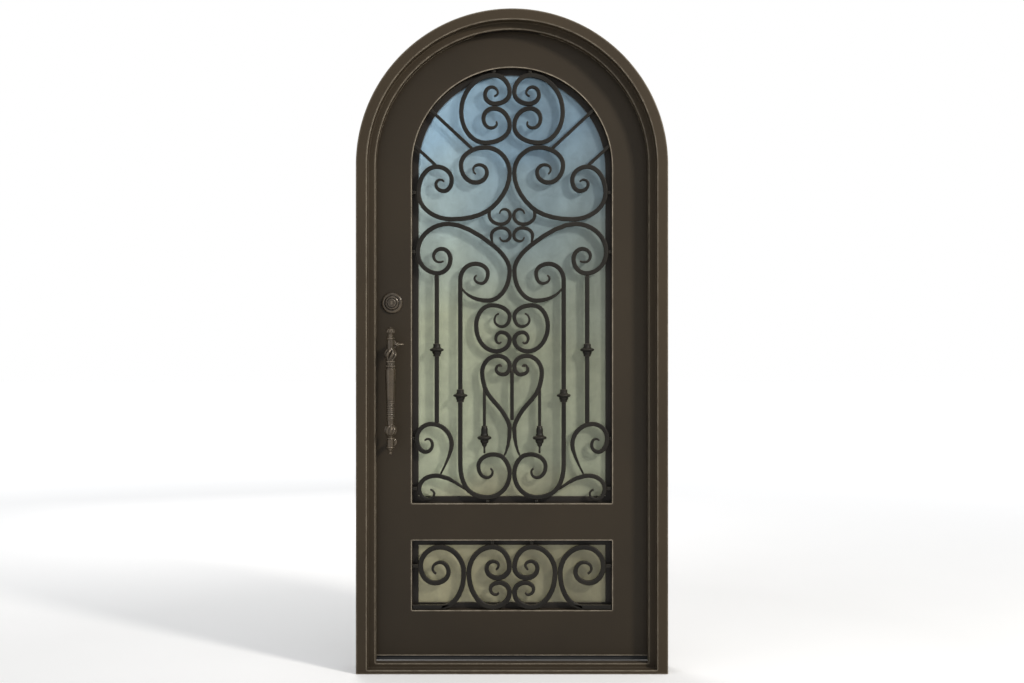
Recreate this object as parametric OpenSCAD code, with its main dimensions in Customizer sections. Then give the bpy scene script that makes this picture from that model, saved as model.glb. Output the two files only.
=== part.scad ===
// Arched wrought iron entry door: a steel frame, one inswinging leaf with frosted glass behind a
// scrolled grille, and its locks, pulls and hinges.
// X runs along the wall, Y from outdoors to indoors and Z up. The origin is on the underside of
// the sill, midway across the frame's width and depth.

/* [Frame] */
// Width over the frame
unit_w = 965; // [900:1:1160]
// Height over the frame
unit_h = 2057; // [1960:1:2470]
// Depth of the frame, from its outdoor face to its indoor face
frame_d = 127; // [118:1:165]
// Width of the frame's outer band
band_w = 34.5; // [30:0.5:45]
// Width of the stop inside the band
stop_w = 23; // [18:0.5:30]
// How far the stop is set back behind the band
stop_back = 36; // [25:1:45]
// Height of the sill's front step
sill_front_h = 13; // [8:1:18]
// Height of the sill's stop
sill_stop_h = 26; // [22:1:30]
// Height of the threshold under the leaf
sill_back_h = 20; // [12:1:22]
// Radius of the anchor holes through the jambs
anchor_r = 5.5; // [4:0.5:7]

/* [Leaf] */
// Thickness of the leaf
leaf_d = 50; // [50:1:62]
// How far the leaf laps behind the stop
stop_lap = 10; // [8:0.5:14]
// Gap all round the leaf's edge
edge_gap = 7; // [7:0.5:9]
// Gap between the leaf's face and the stop
face_gap = 5; // [5:0.5:8]
// Height of the leaf's foot above the sill's underside
leaf_lift = 41; // [38:1:55]
// Width of the stiles and of the arched rail
stile_w = 120; // [100:1:135]
// Height of the bottom rail
bottom_rail_h = 142; // [110:1:180]
// Height of the lower panel's opening
panel_h = 219.5; // [180:0.5:300]
// Height of the middle rail
mid_rail_h = 116.5; // [90:0.5:150]

/* [Glass] */
// Thickness of the glass
glass_t = 12; // [8:0.5:12]
// Width of the rim that holds the glass inside each opening
rim_w = 19; // [14:0.5:24]
// Thickness of the rim's lip in front of the glass
rim_lip = 3; // [2:0.5:5]
// How far the rim runs past the glass's edge
rim_side = 6; // [4:0.5:8]
// How far the indoor sash stands proud of the leaf
sash_proud = 8; // [4:1:14]
// How far the indoor sash laps over the leaf
sash_lap = 12; // [8:1:20]

/* [Grille] */
// Width of the grille's main bars
bar_w = 14; // [11:0.5:16]
// Depth of the grille's bars
bar_d = 14; // [8:0.5:18]
// How far the grille is set back behind the leaf's face
grille_back = 5; // [3:0.5:6]
// Width of the small centre curls
curl_w = 11; // [8:0.5:12]
// Width of the lower panel's bars
panel_bar_w = 15.5; // [11:0.5:17]
// Width of the spokes and pendants
spoke_w = 10; // [7:0.5:12]
// Width of the short stem in the heart
stem_w = 12; // [8:0.5:13]
// Width of a scroll's thin tip, as a part of its bar's width
tip_share = 0.42; // [0.3:0.02:0.8]
// Radius of the turned collars
collar_r = 22; // [16:0.5:23]
// Running gap left at each weld
weld_gap = 0.3; // [0.2:0.05:0.5]

/* [Locks and pulls] */
// Distance of the locks from the leaf's edge
backset = 58; // [50:1:70]
// Height of the deadbolt
deadbolt_z = 1149; // [1100:1:1250]
// Radius of the deadbolt's rose
rose_r = 33.5; // [26:0.5:38]
// Height of the pull's tip above the sill's underside
pull_top_z = 1074; // [1000:1:1090]
// Distance of the pull's axis from the leaf's face
pull_out = 60; // [48:1:75]
// Radius of the pull's posts
post_r = 8; // [6:0.5:10]
// Radius of the thumb lever's pivot pin
thumb_pin_r = 4; // [3:0.1:5]

/* [Hinges] */
// Radius of the hinge barrels
barrel_r = 9; // [8:0.5:12]
// Radius of the hinge pins
hinge_pin_r = 5; // [4:0.1:6]
// Running clearance of a pin in its moving knuckle
pin_play = 0.05; // [0.03:0.01:0.08]
// Height of one hinge knuckle
knuckle_h = 30; // [24:1:40]
// Gap between two knuckles
knuckle_gap = 0.5; // [0.3:0.1:1]
// Thickness of the hinge tabs
tab_t = 6; // [5:0.5:7]
// Width of the hinge tabs
tab_w = 32; // [24:1:36]

/* [Hidden] */

frame_r = unit_w / 2;
spring_z = unit_h - frame_r;
front_y = -frame_d / 2;
back_y = frame_d / 2;
band_r = frame_r - band_w;
stop_r = band_r - stop_w;
leaf_r = stop_r + stop_lap;
rebate_r = leaf_r + edge_gap;
leaf_front_y = back_y - leaf_d;
stop_front_y = front_y + stop_back;
stop_back_y = leaf_front_y - face_gap;
open_r = leaf_r - stile_w;
panel_z0 = leaf_lift + bottom_rail_h;
panel_z1 = panel_z0 + panel_h;
main_z0 = panel_z1 + mid_rail_h;
cut = 1;                        // how far a cutting shape runs past the face it cuts
round_fn = 96;

// weather seal in a rebate on the stop's back corner
seal_w = 7;
seal_d = 4;
// rubber sweep under the leaf
sweep_d = 8;
sweep_back = 6;
sweep_inset = 3;
sweep_air = 7;

// glass and its rim
sash_t = 2.5;
glass_back_y = back_y - sash_t;
glass_front_y = glass_back_y - glass_t;
rim_front_y = glass_front_y - rim_lip;

// grille layers
grille_front_y = leaf_front_y + grille_back;
grille_back_y = grille_front_y + bar_d;
grille_mid_y = (grille_front_y + grille_back_y) / 2;

// The scrolls' guide points below are given for the standard door: x from its middle and z from
// the sill's underside. These are that door's opening, and the points stretch with the real one.
std_open_r = 315;
std_spring_z = 1574.5;
std_main_z0 = 519;
std_panel_z0 = 183;
std_panel_h = 219.5;
across_fit = open_r / std_open_r;
upper_fit = (spring_z - main_z0) / (std_spring_z - std_main_z0);
panel_fit = panel_h / std_panel_h;

// hinge places
axis_x = (leaf_r + rebate_r) / 2;
axis_y = back_y + barrel_r + 3.5;
hinge_low = 200;
hinge_zs = [leaf_lift + hinge_low, (leaf_lift + hinge_low + spring_z - 130) / 2, spring_z - 130];
hinge_h = 3 * knuckle_h + 2 * knuckle_gap;
pin_cap_r = barrel_r - 1;
pin_cap_h = 5;

// lock places
lock_x = -(leaf_r - backset);
latch_z = pull_top_z - 56;
faceplate_w = 28;
faceplate_h = 70;
faceplate_t = 3;
bolt_r = 12.5;
bolt_hole_d = 20;
low_post_z = pull_top_z - 362;
anchor_zs = [spring_z - 1174.5, spring_z - 174.5];
anchor_y = back_y - leaf_d / 2;

// thumb lever
thumb_x = lock_x + 14;
thumb_hub_w = 8;
thumb_hub_r = 7;
thumb_y = leaf_front_y - 26;
thumb_play = 0.05;
dish_x = lock_x + 31;
dish_y = leaf_front_y - 58;
dish_r = 11;
dish_t = 5;

// ---- headings, curves and bars ----

function ray(a) = [cos(a), sin(a)];
function left_of(a) = [-sin(a), cos(a)];
function cross2(u, v) = u[0] * v[1] - u[1] * v[0];
function spot(p) = [p[0], p[1]];
// turn from heading a to heading b, between -180 and 180
function turn(a, b) = ((b - a) % 360 + 540) % 360 - 180;

// handle lengths that join two guide points [x, z, heading] with an almost elliptic arc
function handles(p, q) =
    let (
        t = turn(p[2], q[2]), d = spot(q) - spot(p),
        u = ray(p[2]), v = ray(q[2]), s = cross2(u, v),
        even = norm(d) / (3 * pow(cos(t / 4), 2)),
        k = abs(t) > 1 ? 4 / 3 * tan(t / 4) / tan(t / 2) : 2 / 3,
        a = abs(s) > 0.25 ? k * cross2(d, v) / s : even,
        b = abs(s) > 0.25 ? k * cross2(u, d) / s : even
    )
    a > 0 && b > 0 && a < norm(d) && b < norm(d) ? [a, b] : [even, even];

function bezier(c, t) =
    pow(1 - t, 3) * c[0] + 3 * pow(1 - t, 2) * t * c[1] + 3 * (1 - t) * t * t * c[2] + pow(t, 3) * c[3];
function bezier_slope(c, t) =
    3 * pow(1 - t, 2) * (c[1] - c[0]) + 6 * (1 - t) * t * (c[2] - c[1]) + 3 * t * t * (c[3] - c[2]);
function span_steps(p, q) = max(4, ceil(abs(turn(p[2], q[2])) / 10));

// points [x, z, heading, place], where place counts the guide points passed
function trace(guides) = concat(
    [for (i = [0 : len(guides) - 2])
        let (
            p = guides[i], q = guides[i + 1], h = handles(p, q), n = span_steps(p, q),
            c = [spot(p), spot(p) + h[0] * ray(p[2]), spot(q) - h[1] * ray(q[2]), spot(q)]
        )
        for (j = [0 : n - 1])
            let (b = bezier(c, j / n), s = bezier_slope(c, j / n))
            [b[0], b[1], atan2(s[1], s[0]), i + j / n]],
    [concat(guides[len(guides) - 1], [len(guides) - 1])]
);

// width of a bar that thins towards its ends over so many guide points
function smooth(t) = t * t * (3 - 2 * t);
function thinning(place, run, share) =
    run <= 0 || place >= run ? 1 : share + (1 - share) * smooth(place / run);
function bar_outline(guides, w, start_run, end_run, grow) =
    let (
        pts = trace(guides), last = len(guides) - 1,
        half = [for (p = pts) w / 2 * thinning(p[3], start_run, tip_share)
            * thinning(last - p[3], end_run, tip_share) + grow]
    )
    concat(
        [for (i = [0 : len(pts) - 1]) spot(pts[i]) + half[i] * left_of(pts[i][2])],
        [for (i = [len(pts) - 1 : -1 : 0]) spot(pts[i]) - half[i] * left_of(pts[i][2])]
    );

// a flat outline drawn in X and Z, filled from depth y0 to depth y1
module layer(y0, y1) {
    translate([0, y1, 0]) rotate([90, 0, 0]) linear_extrude(height = y1 - y0) children();
}

module both_sides() {
    children();
    mirror([1, 0, 0]) children();
}

module grille_layer() {
    layer(grille_front_y, grille_back_y) children();
}

// ---- guide points ----

function at(x, z, heading) = [x * across_fit, place_z(z), heading];
function place_z(z) =
    z > std_spring_z ? spring_z + (z - std_spring_z) * across_fit
    : z > std_main_z0 ? main_z0 + (z - std_main_z0) * upper_fit
    : panel_z0 + (z - std_panel_z0) * panel_fit;
// beside the door's middle, where a scroll meets its mirror image
function middle(z, heading, w) = [(w + weld_gap) / 2, place_z(z), heading];
// beside a weld point, on the left (1) or right (-1) of the heading
function beside(x, z, heading, side, w) =
    let (p = at(x, z, heading), n = left_of(heading) * side * (w + weld_gap) / 2)
    [p[0] + n[0], p[1] + n[1], heading];

crown = [
    at(57, 1801, 170), at(45, 1812, 90), at(64, 1830, 0), at(85, 1805, -90),
    beside(53, 1770, 180, -1, bar_w), middle(1813, 90, bar_w), at(57, 1867, 0),
    at(160, 1752, -90), beside(84, 1647, 180, -1, bar_w), middle(1707, 90, bar_w),
    beside(57, 1770, 0, -1, bar_w), at(90, 1731, -90), at(66, 1701, 180), at(48, 1714, 90), at(50, 1722, 60)
];
fan = [
    at(113, 1556, 20), at(122, 1571, 90), at(103, 1585, 180), at(79, 1561, -90), at(115, 1529, 0),
    at(161, 1584, 90), beside(84, 1647, 180, 1, bar_w), middle(1559, -90, bar_w), at(62, 1451, -42),
    beside(190, 1406, 0, 1, bar_w), at(295, 1497, 90), at(238, 1579, 180), at(190, 1537, -90),
    at(215, 1502, 0), at(240, 1524, 90), at(225, 1538, 180), at(214, 1531, 240)
];
curl_upper = [
    at(39, 1430, 90), at(24, 1445, 180), middle(1424, -90, curl_w), beside(36, 1392, 0, 1, curl_w),
    at(72, 1428, 90), at(62, 1451, 128)
];
curl_lower = [
    at(38, 1357, -90), at(25, 1344, 180), middle(1362, 90, curl_w), beside(32, 1392, 0, -1, curl_w),
    at(65, 1362, -90), at(58, 1330, -110)
];
shoulder = [
    at(215, 1283, -60), at(229, 1278, 0), at(247, 1297, 90), at(222, 1320, 180), at(194, 1288, -90),
    at(234, 1243, 0), at(297, 1310, 90), beside(200, 1406, 180, 1, bar_w), at(58, 1330, 219),
    middle(1252, -90, bar_w), beside(76, 1149.5, 0, 1, bar_w), at(163, 1206, 70)
];
long_bar = [
    at(110, 1236, 0), at(118, 1227, -90), at(96, 1211, 180), at(76, 1243, 90), at(116, 1273, 0),
    at(163, 1222, -90), at(163, 1150, -90), at(163, 640, -90), at(126, 550, 210), at(77, 537, 180),
    middle(612, 90, bar_w), at(28, 662, 45), at(59, 672, 0), at(106, 635, -90), at(79, 599, 180),
    at(61, 616, 90), at(69, 628, 20)
];
mid = [
    at(40, 1116, -10), at(55, 1096, -90), at(31, 1075, 180), middle(1107, 90, bar_w),
    beside(64, 1149.5, 0, -1, bar_w), at(113, 1077, -90), beside(50, 990, 180, -1, bar_w),
    middle(1033, 90, bar_w), at(33, 1057, 0), at(51, 1037, -90), at(40, 1022, 180), at(34, 1028, 110)
];
heart = [
    at(32, 948, 60), at(38, 954, 0), at(50, 940, -90), at(27, 924, 180), middle(951, 90, bar_w),
    beside(46, 990, 0, -1, bar_w), at(94, 930, -90), at(86, 884, -106), at(33, 811, -125),
    middle(755, -90, bar_w), at(28, 662, -58)
];
foot = [
    at(275, 715, 120), at(265, 721, 180), at(251, 702, -90), at(272, 680, 0), at(300, 722, 90),
    at(254, 768, 180), at(190, 703, -90), at(228, 604, -62)
];
corner = [
    at(258, 562, 200), at(245, 548, -90), at(265, 531, 0), at(292, 565, 90), at(242, 605, 180),
    at(228, 604, 187), at(126, 550, 207)
];
// the lowest line of the lower panel's scrolls, resting on the bottom rail
panel_low_z = panel_z0 + panel_bar_w / 2 + weld_gap;
panel_outer = [
    at(238, 296, 20), at(250, 312, 90), at(226, 332, 180), at(200, 301, -90), at(243, 267, 0),
    at(288, 321, 90), at(227, 380, 180), beside(144, 298, -90, 1, panel_bar_w),
    [206 * across_fit, panel_low_z + 3, -18], [232 * across_fit, panel_low_z, 0],
    [open_r - weld_gap, panel_low_z, 0]
];
panel_inner = [
    at(51, 308, 140), at(42, 322, 90), at(60, 335, 0), at(80, 312, -90), at(46, 283, 180),
    middle(317, 90, panel_bar_w), at(62, 381, 0), beside(144, 298, -90, -1, panel_bar_w),
    [61 * across_fit, panel_low_z, 180], middle(237, 90, panel_bar_w), at(40, 268, 0),
    at(68, 248, -90), at(51, 230, 180), at(42, 237, 110)
];

picket_x = 237 * across_fit;
long_x = 163 * across_fit;
pendant_x = 87 * across_fit;
pendant_w = spoke_w;
picket_top_z = place_z(1243);
picket_foot_z = place_z(766);
picket_collar_z = place_z(1001);
long_collar_z = place_z(857);
pendant_top_z = place_z(884);
pendant_tip_z = place_z(675);
pendant_knop_z = place_z(723);

// ---- frame ----

module sill() {
    color([0.27, 0.23, 0.19]) {
        translate([-band_r, front_y, 0]) cube([2 * band_r, stop_back, sill_front_h]);
        translate([-stop_r, stop_front_y, 0]) cube([2 * stop_r, stop_back_y - stop_front_y, sill_stop_h]);
        translate([-rebate_r, stop_back_y, 0]) cube([2 * rebate_r, back_y - stop_back_y, sill_back_h]);
    }
}

// the band and rebate in plan, for the side at +X
function jamb_plan() = [
    [band_r, front_y], [frame_r, front_y], [frame_r, back_y], [rebate_r, back_y],
    [rebate_r, stop_back_y], [band_r, stop_back_y]
];
function stop_plan() = [
    [stop_r, stop_front_y], [band_r, stop_front_y], [band_r, stop_back_y],
    [stop_r + seal_w + cut, stop_back_y], [stop_r + seal_w + cut, stop_back_y - seal_d],
    [stop_r, stop_back_y - seal_d]
];
function seal_plan() = [
    [stop_r + cut, stop_back_y - seal_d], [stop_r + seal_w + cut, stop_back_y - seal_d],
    [stop_r + seal_w + cut, stop_back_y], [stop_r + cut + 2, stop_back_y], [stop_r + cut, stop_back_y - 2]
];

module arch_of(plan) {
    translate([0, 0, spring_z]) rotate([90, 0, 0]) rotate_extrude(angle = 180, $fn = 2 * round_fn)
        polygon([for (p = plan) [p[0], -p[1]]]);
}

module anchor_holes() {
    for (z = anchor_zs) translate([rebate_r - cut, anchor_y, z]) rotate([0, 90, 0])
        cylinder(r = anchor_r, h = frame_r - rebate_r + 2 * cut, $fn = 48);
}

module jamb() {
    difference() {
        linear_extrude(height = spring_z) polygon(jamb_plan());
        anchor_holes();
    }
}

module jamb_hinge_side() {
    color([0.27, 0.23, 0.19]) jamb();
}

module jamb_lock_side() {
    color([0.27, 0.23, 0.19]) difference() {
        mirror([1, 0, 0]) jamb();
        for (z = [latch_z, deadbolt_z]) {
            translate([-rebate_r - faceplate_t, anchor_y - faceplate_w / 2, z - faceplate_h / 2])
                cube([faceplate_t + cut, faceplate_w, faceplate_h]);
            translate([-rebate_r - bolt_hole_d, anchor_y, z]) rotate([0, 90, 0])
                cylinder(r = bolt_r, h = bolt_hole_d, $fn = 48);
        }
    }
}

module frame_arch() {
    color([0.27, 0.23, 0.19]) arch_of(jamb_plan());
}

module stop_hinge_side() {
    color([0.25, 0.21, 0.18]) linear_extrude(height = spring_z) polygon(stop_plan());
}

module stop_lock_side() {
    color([0.25, 0.21, 0.18]) mirror([1, 0, 0]) linear_extrude(height = spring_z) polygon(stop_plan());
}

module stop_arch() {
    color([0.25, 0.21, 0.18]) arch_of(stop_plan());
}

module weather_seal() {
    color([0.06, 0.06, 0.06]) {
        both_sides() translate([0, 0, sill_stop_h]) linear_extrude(height = spring_z - sill_stop_h)
            polygon(seal_plan());
        arch_of(seal_plan());
    }
}

module strike_plates() {
    color([0.55, 0.5, 0.42]) for (z = [latch_z, deadbolt_z]) difference() {
        translate([-rebate_r - faceplate_t, anchor_y - faceplate_w / 2, z - faceplate_h / 2])
            cube([faceplate_t, faceplate_w, faceplate_h]);
        translate([-rebate_r - faceplate_t - cut, anchor_y, z]) rotate([0, 90, 0])
            cylinder(r = bolt_r, h = faceplate_t + 2 * cut, $fn = 48);
    }
}

// ---- hinges ----

module knuckle(bore_r, side) {
    difference() {
        union() {
            translate([axis_x, axis_y, 0]) cylinder(r = barrel_r, h = knuckle_h, $fn = 64);
            translate([side > 0 ? axis_x : axis_x - tab_w, back_y, 0]) cube([tab_w, tab_t, knuckle_h]);
        }
        translate([axis_x, axis_y, -cut]) cylinder(r = bore_r, h = knuckle_h + 2 * cut, $fn = 64);
    }
}

module hinge_frame_knuckles() {
    color([0.2, 0.17, 0.14]) for (z = hinge_zs) for (level = [0, 2])
        translate([0, 0, z + level * (knuckle_h + knuckle_gap)]) knuckle(hinge_pin_r, 1);
}

module hinge_leaf_knuckles() {
    color([0.2, 0.17, 0.14]) for (z = hinge_zs)
        translate([0, 0, z + knuckle_h + knuckle_gap]) knuckle(hinge_pin_r + pin_play, -1);
}

module hinge_pins() {
    color([0.3, 0.28, 0.25]) for (z = hinge_zs) translate([axis_x, axis_y, z]) {
        cylinder(r = hinge_pin_r, h = hinge_h, $fn = 64);
        translate([0, 0, hinge_h]) cylinder(r = pin_cap_r, h = pin_cap_h, $fn = 64);
    }
}

// ---- leaf ----

module stile() {
    translate([open_r, leaf_front_y, leaf_lift]) cube([stile_w, leaf_d, spring_z - leaf_lift]);
}

module hinge_stile() {
    color([0.27, 0.25, 0.22]) stile();
}

module lock_stile() {
    color([0.27, 0.25, 0.22]) difference() {
        mirror([1, 0, 0]) stile();
        for (z = [latch_z, deadbolt_z])
            translate([-leaf_r - cut, anchor_y - faceplate_w / 2, z - faceplate_h / 2])
                cube([faceplate_t + cut, faceplate_w, faceplate_h]);
    }
}

module bottom_rail() {
    color([0.27, 0.25, 0.22]) translate([-open_r, leaf_front_y, leaf_lift])
        cube([2 * open_r, leaf_d, bottom_rail_h]);
}

module middle_rail() {
    color([0.27, 0.25, 0.22]) translate([-open_r, leaf_front_y, panel_z1])
        cube([2 * open_r, leaf_d, mid_rail_h]);
}

module arched_rail() {
    color([0.27, 0.25, 0.22]) arch_of([
        [open_r, leaf_front_y], [leaf_r, leaf_front_y], [leaf_r, back_y], [open_r, back_y]
    ]);
}

module door_sweep() {
    color([0.05, 0.05, 0.05]) translate([
        -leaf_r + sweep_inset, leaf_front_y + sweep_back, sill_back_h + sweep_air
    ]) cube([2 * (leaf_r - sweep_inset), sweep_d, leaf_lift - sill_back_h - sweep_air]);
}

// ---- glass ----

// the arched opening, smaller by inset all round
module arched_outline(inset) {
    translate([0, spring_z]) circle(r = open_r - inset, $fn = 2 * round_fn);
    translate([-(open_r - inset), main_z0 + inset])
        square([2 * (open_r - inset), spring_z - main_z0 - inset]);
}

module panel_outline(inset) {
    translate([-(open_r - inset), panel_z0 + inset])
        square([2 * (open_r - inset), panel_h - 2 * inset]);
}

module arched_ring(outer, inner) {
    difference() {
        arched_outline(outer);
        arched_outline(inner);
    }
}

module panel_ring(outer, inner) {
    difference() {
        panel_outline(outer);
        panel_outline(inner);
    }
}

module upper_glass() {
    color([0.5, 0.58, 0.56, 0.8]) layer(glass_front_y, glass_back_y) arched_outline(rim_side);
}

module lower_glass() {
    color([0.55, 0.56, 0.46, 0.8]) layer(glass_front_y, glass_back_y) panel_outline(rim_side);
}

module upper_glass_rim() {
    color([0.1, 0.09, 0.08]) {
        layer(rim_front_y, glass_front_y) arched_ring(0, rim_w);
        layer(glass_front_y, glass_back_y) arched_ring(0, rim_side);
    }
}

module lower_glass_rim() {
    color([0.1, 0.09, 0.08]) {
        layer(rim_front_y, glass_front_y) panel_ring(0, rim_w);
        layer(glass_front_y, glass_back_y) panel_ring(0, rim_side);
    }
}

module upper_sash() {
    color([0.2, 0.18, 0.16]) {
        layer(glass_back_y, back_y) arched_ring(0, rim_w);
        layer(back_y, back_y + sash_proud) arched_ring(-sash_lap, rim_w);
    }
}

module lower_sash() {
    color([0.2, 0.18, 0.16]) {
        layer(glass_back_y, back_y) panel_ring(0, rim_w);
        layer(back_y, back_y + sash_proud) panel_ring(-sash_lap, rim_w);
    }
}

// ---- grille ----

iron = [0.13, 0.11, 0.09];
curl_run = 4;
weld_run = 1;

module crown_bar() { polygon(bar_outline(crown, bar_w, curl_run, curl_run, 0)); }
module fan_bar(grow = 0) { polygon(bar_outline(fan, bar_w, curl_run, curl_run, grow)); }
module shoulder_bar(grow = 0) { polygon(bar_outline(shoulder, bar_w, curl_run, weld_run, grow)); }
module long_bar_shape(grow = 0) { polygon(bar_outline(long_bar, bar_w, curl_run, curl_run, grow)); }
module mid_bar() { polygon(bar_outline(mid, bar_w, curl_run, curl_run, 0)); }
module heart_bar(grow = 0) { polygon(bar_outline(heart, bar_w, curl_run, weld_run, grow)); }
module foot_bar(grow = 0) { polygon(bar_outline(foot, bar_w, curl_run, weld_run, grow)); }
module corner_bar(grow = 0) { polygon(bar_outline(corner, bar_w, curl_run, weld_run, grow)); }

module crown_scrolls() {
    color(iron) both_sides() grille_layer() crown_bar();
}

module fan_scrolls() {
    color(iron) both_sides() grille_layer() fan_bar();
}

module centre_curls_upper() {
    color(iron) both_sides() grille_layer() difference() {
        polygon(bar_outline(curl_upper, curl_w, 2, weld_run, 0));
        fan_bar(weld_gap);
    }
}

module centre_curls_lower() {
    color(iron) both_sides() grille_layer() difference() {
        polygon(bar_outline(curl_lower, curl_w, 2, weld_run, 0));
        shoulder_bar(weld_gap);
    }
}

module shoulder_scrolls() {
    color(iron) both_sides() grille_layer() difference() {
        shoulder_bar();
        long_bar_shape(weld_gap);
    }
}

module long_scrolls() {
    color(iron) both_sides() grille_layer() long_bar_shape();
}

module mid_scrolls() {
    color(iron) both_sides() grille_layer() mid_bar();
}

module heart_scrolls() {
    color(iron) both_sides() grille_layer() difference() {
        heart_bar();
        long_bar_shape(weld_gap);
    }
}

module heart_stem() {
    stem_top_z = place_z(942);
    stem_foot_z = place_z(780);
    color(iron) grille_layer() difference() {
        translate([-stem_w / 2, stem_foot_z]) square([stem_w, stem_top_z - stem_foot_z]);
        both_sides() heart_bar(weld_gap);
    }
}

module foot_scrolls() {
    color(iron) both_sides() grille_layer() difference() {
        foot_bar();
        corner_bar(weld_gap);
    }
}

module corner_scrolls() {
    color(iron) both_sides() grille_layer() difference() {
        corner_bar();
        long_bar_shape(weld_gap);
    }
}

module spoke(x, z, angle) {
    translate([x * across_fit, place_z(z)]) rotate(angle) translate([0, -spoke_w / 2])
        square([open_r, spoke_w]);
}

module spokes() {
    color(iron) both_sides() grille_layer() difference() {
        intersection() {
            union() {
                spoke(124, 1634, 43);
                spoke(236, 1579, 43);
            }
            translate([0, spring_z]) circle(r = open_r - weld_gap, $fn = 2 * round_fn);
        }
        fan_bar(weld_gap);
        polygon(bar_outline(crown, bar_w, curl_run, curl_run, weld_gap));
    }
}

module outer_pickets() {
    color(iron) both_sides() grille_layer() difference() {
        translate([picket_x - bar_w / 2, picket_foot_z])
            square([bar_w, picket_top_z - picket_foot_z]);
        shoulder_bar(weld_gap);
        foot_bar(weld_gap);
    }
}

// a turned collar around a square bar, with its widest disc at z = 0
module collar(r) {
    rotate_extrude($fn = 64) polygon([
        [0, 20], [0.36 * r, 20], [0.45 * r, 15], [0.5 * r, 9], [0.9 * r, 7], [r, 4], [r, -4],
        [0.9 * r, -7], [0.5 * r, -9], [0.45 * r, -15], [0.36 * r, -20], [0, -20]
    ]);
}

module bar_collar(x, z) {
    difference() {
        translate([x, grille_mid_y, z]) collar(collar_r);
        translate([x - bar_w / 2 - weld_gap, grille_front_y - weld_gap, z - 30])
            cube([bar_w + 2 * weld_gap, bar_d + 2 * weld_gap, 60]);
    }
}

module picket_collars() {
    color(iron) both_sides() {
        bar_collar(picket_x, picket_collar_z);
        bar_collar(long_x, long_collar_z);
    }
}

module pendants() {
    color(iron) both_sides() {
        grille_layer() difference() {
            translate([pendant_x - pendant_w / 2, pendant_knop_z + 20])
                square([pendant_w, pendant_top_z - pendant_knop_z - 20]);
            heart_bar(weld_gap);
        }
        translate([pendant_x, grille_mid_y, pendant_knop_z]) rotate_extrude($fn = 64) polygon([
            [0, 37], [9, 37], [10, 26], [13, 13], [13, 8], [collar_r, 5], [collar_r, -5], [13, -8],
            [12, -12], [6, -26], [4, -30], [4, pendant_tip_z - pendant_knop_z],
            [0, pendant_tip_z - pendant_knop_z]
        ]);
    }
}

module panel_outer_scrolls() {
    color(iron) both_sides() grille_layer()
        polygon(bar_outline(panel_outer, panel_bar_w, curl_run, 0, 0));
}

module panel_inner_scrolls() {
    color(iron) both_sides() grille_layer()
        polygon(bar_outline(panel_inner, panel_bar_w, curl_run, curl_run, 0));
}

// a short square peg from a bar's edge to the side of the opening
module side_peg(bar_edge_x, z) {
    translate([bar_edge_x + weld_gap, grille_mid_y - spoke_w / 2, z - spoke_w / 2])
        cube([open_r - bar_edge_x - 2 * weld_gap, spoke_w, spoke_w]);
}

module upright_peg(x, z0, z1) {
    translate([x - spoke_w / 2, grille_mid_y - spoke_w / 2, z0 + weld_gap])
        cube([spoke_w, spoke_w, z1 - z0 - 2 * weld_gap]);
}

module grille_pegs() {
    crown_x = 57 * across_fit;
    crown_edge_z = place_z(1867) + bar_w / 2;
    arch_z = spring_z + sqrt(pow(open_r, 2) - pow(crown_x + spoke_w / 2, 2));
    color(iron) both_sides() {
        side_peg(295 * across_fit + bar_w / 2, place_z(1497));
        side_peg(297 * across_fit + bar_w / 2, place_z(1310));
        side_peg(300 * across_fit + bar_w / 2, place_z(722));
        side_peg(292 * across_fit + bar_w / 2, place_z(565));
        upright_peg(crown_x, crown_edge_z, arch_z);
        upright_peg(77 * across_fit, main_z0, place_z(537) - bar_w / 2);
    }
}

module panel_pegs() {
    color(iron) both_sides() {
        side_peg(288 * across_fit + panel_bar_w / 2, place_z(321));
        upright_peg(62 * across_fit, place_z(381) + panel_bar_w / 2, panel_z1);
    }
}

// ---- locks and pulls ----

module deadbolt_rose() {
    keyway_w = 1.6;
    keyway_h = 9;
    color([0.2, 0.17, 0.14]) difference() {
        translate([lock_x, leaf_front_y, deadbolt_z]) rotate([90, 0, 0]) rotate_extrude($fn = 96) polygon([
            [0, 0], [rose_r, 0], [rose_r, 4], [rose_r - 2, 7], [rose_r - 6, 8], [rose_r - 10, 8],
            [rose_r - 11, 7], [rose_r - 11, 10], [rose_r - 13, 13], [rose_r - 18, 14],
            [rose_r - 20, 13], [rose_r - 20, 17], [rose_r - 22, 18.5], [0, 18.5]
        ]);
        translate([lock_x - keyway_w / 2, leaf_front_y - 18.5 - cut, deadbolt_z - keyway_h / 2])
            cube([keyway_w, 4 + cut, keyway_h]);
    }
}

module deadbolt_turn() {
    turn_t = 8;
    turn_h = 40;
    turn_out = 18;
    color([0.2, 0.17, 0.14]) translate([lock_x, back_y, deadbolt_z]) {
        rotate([-90, 0, 0]) rotate_extrude($fn = 96) polygon([
            [0, 0], [rose_r, 0], [rose_r, 4], [rose_r - 2, 7], [rose_r - 8, 8], [8, 9], [8, 14], [0, 14]
        ]);
        translate([-turn_t / 2, 12, -turn_h / 2]) cube([turn_t, turn_out, turn_h]);
    }
}

module lock_faceplates() {
    color([0.55, 0.5, 0.42]) for (z = [latch_z, deadbolt_z])
        translate([-leaf_r, anchor_y - faceplate_w / 2, z - faceplate_h / 2])
            cube([faceplate_t, faceplate_w, faceplate_h]);
}

post_seat_r = 11;
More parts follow.
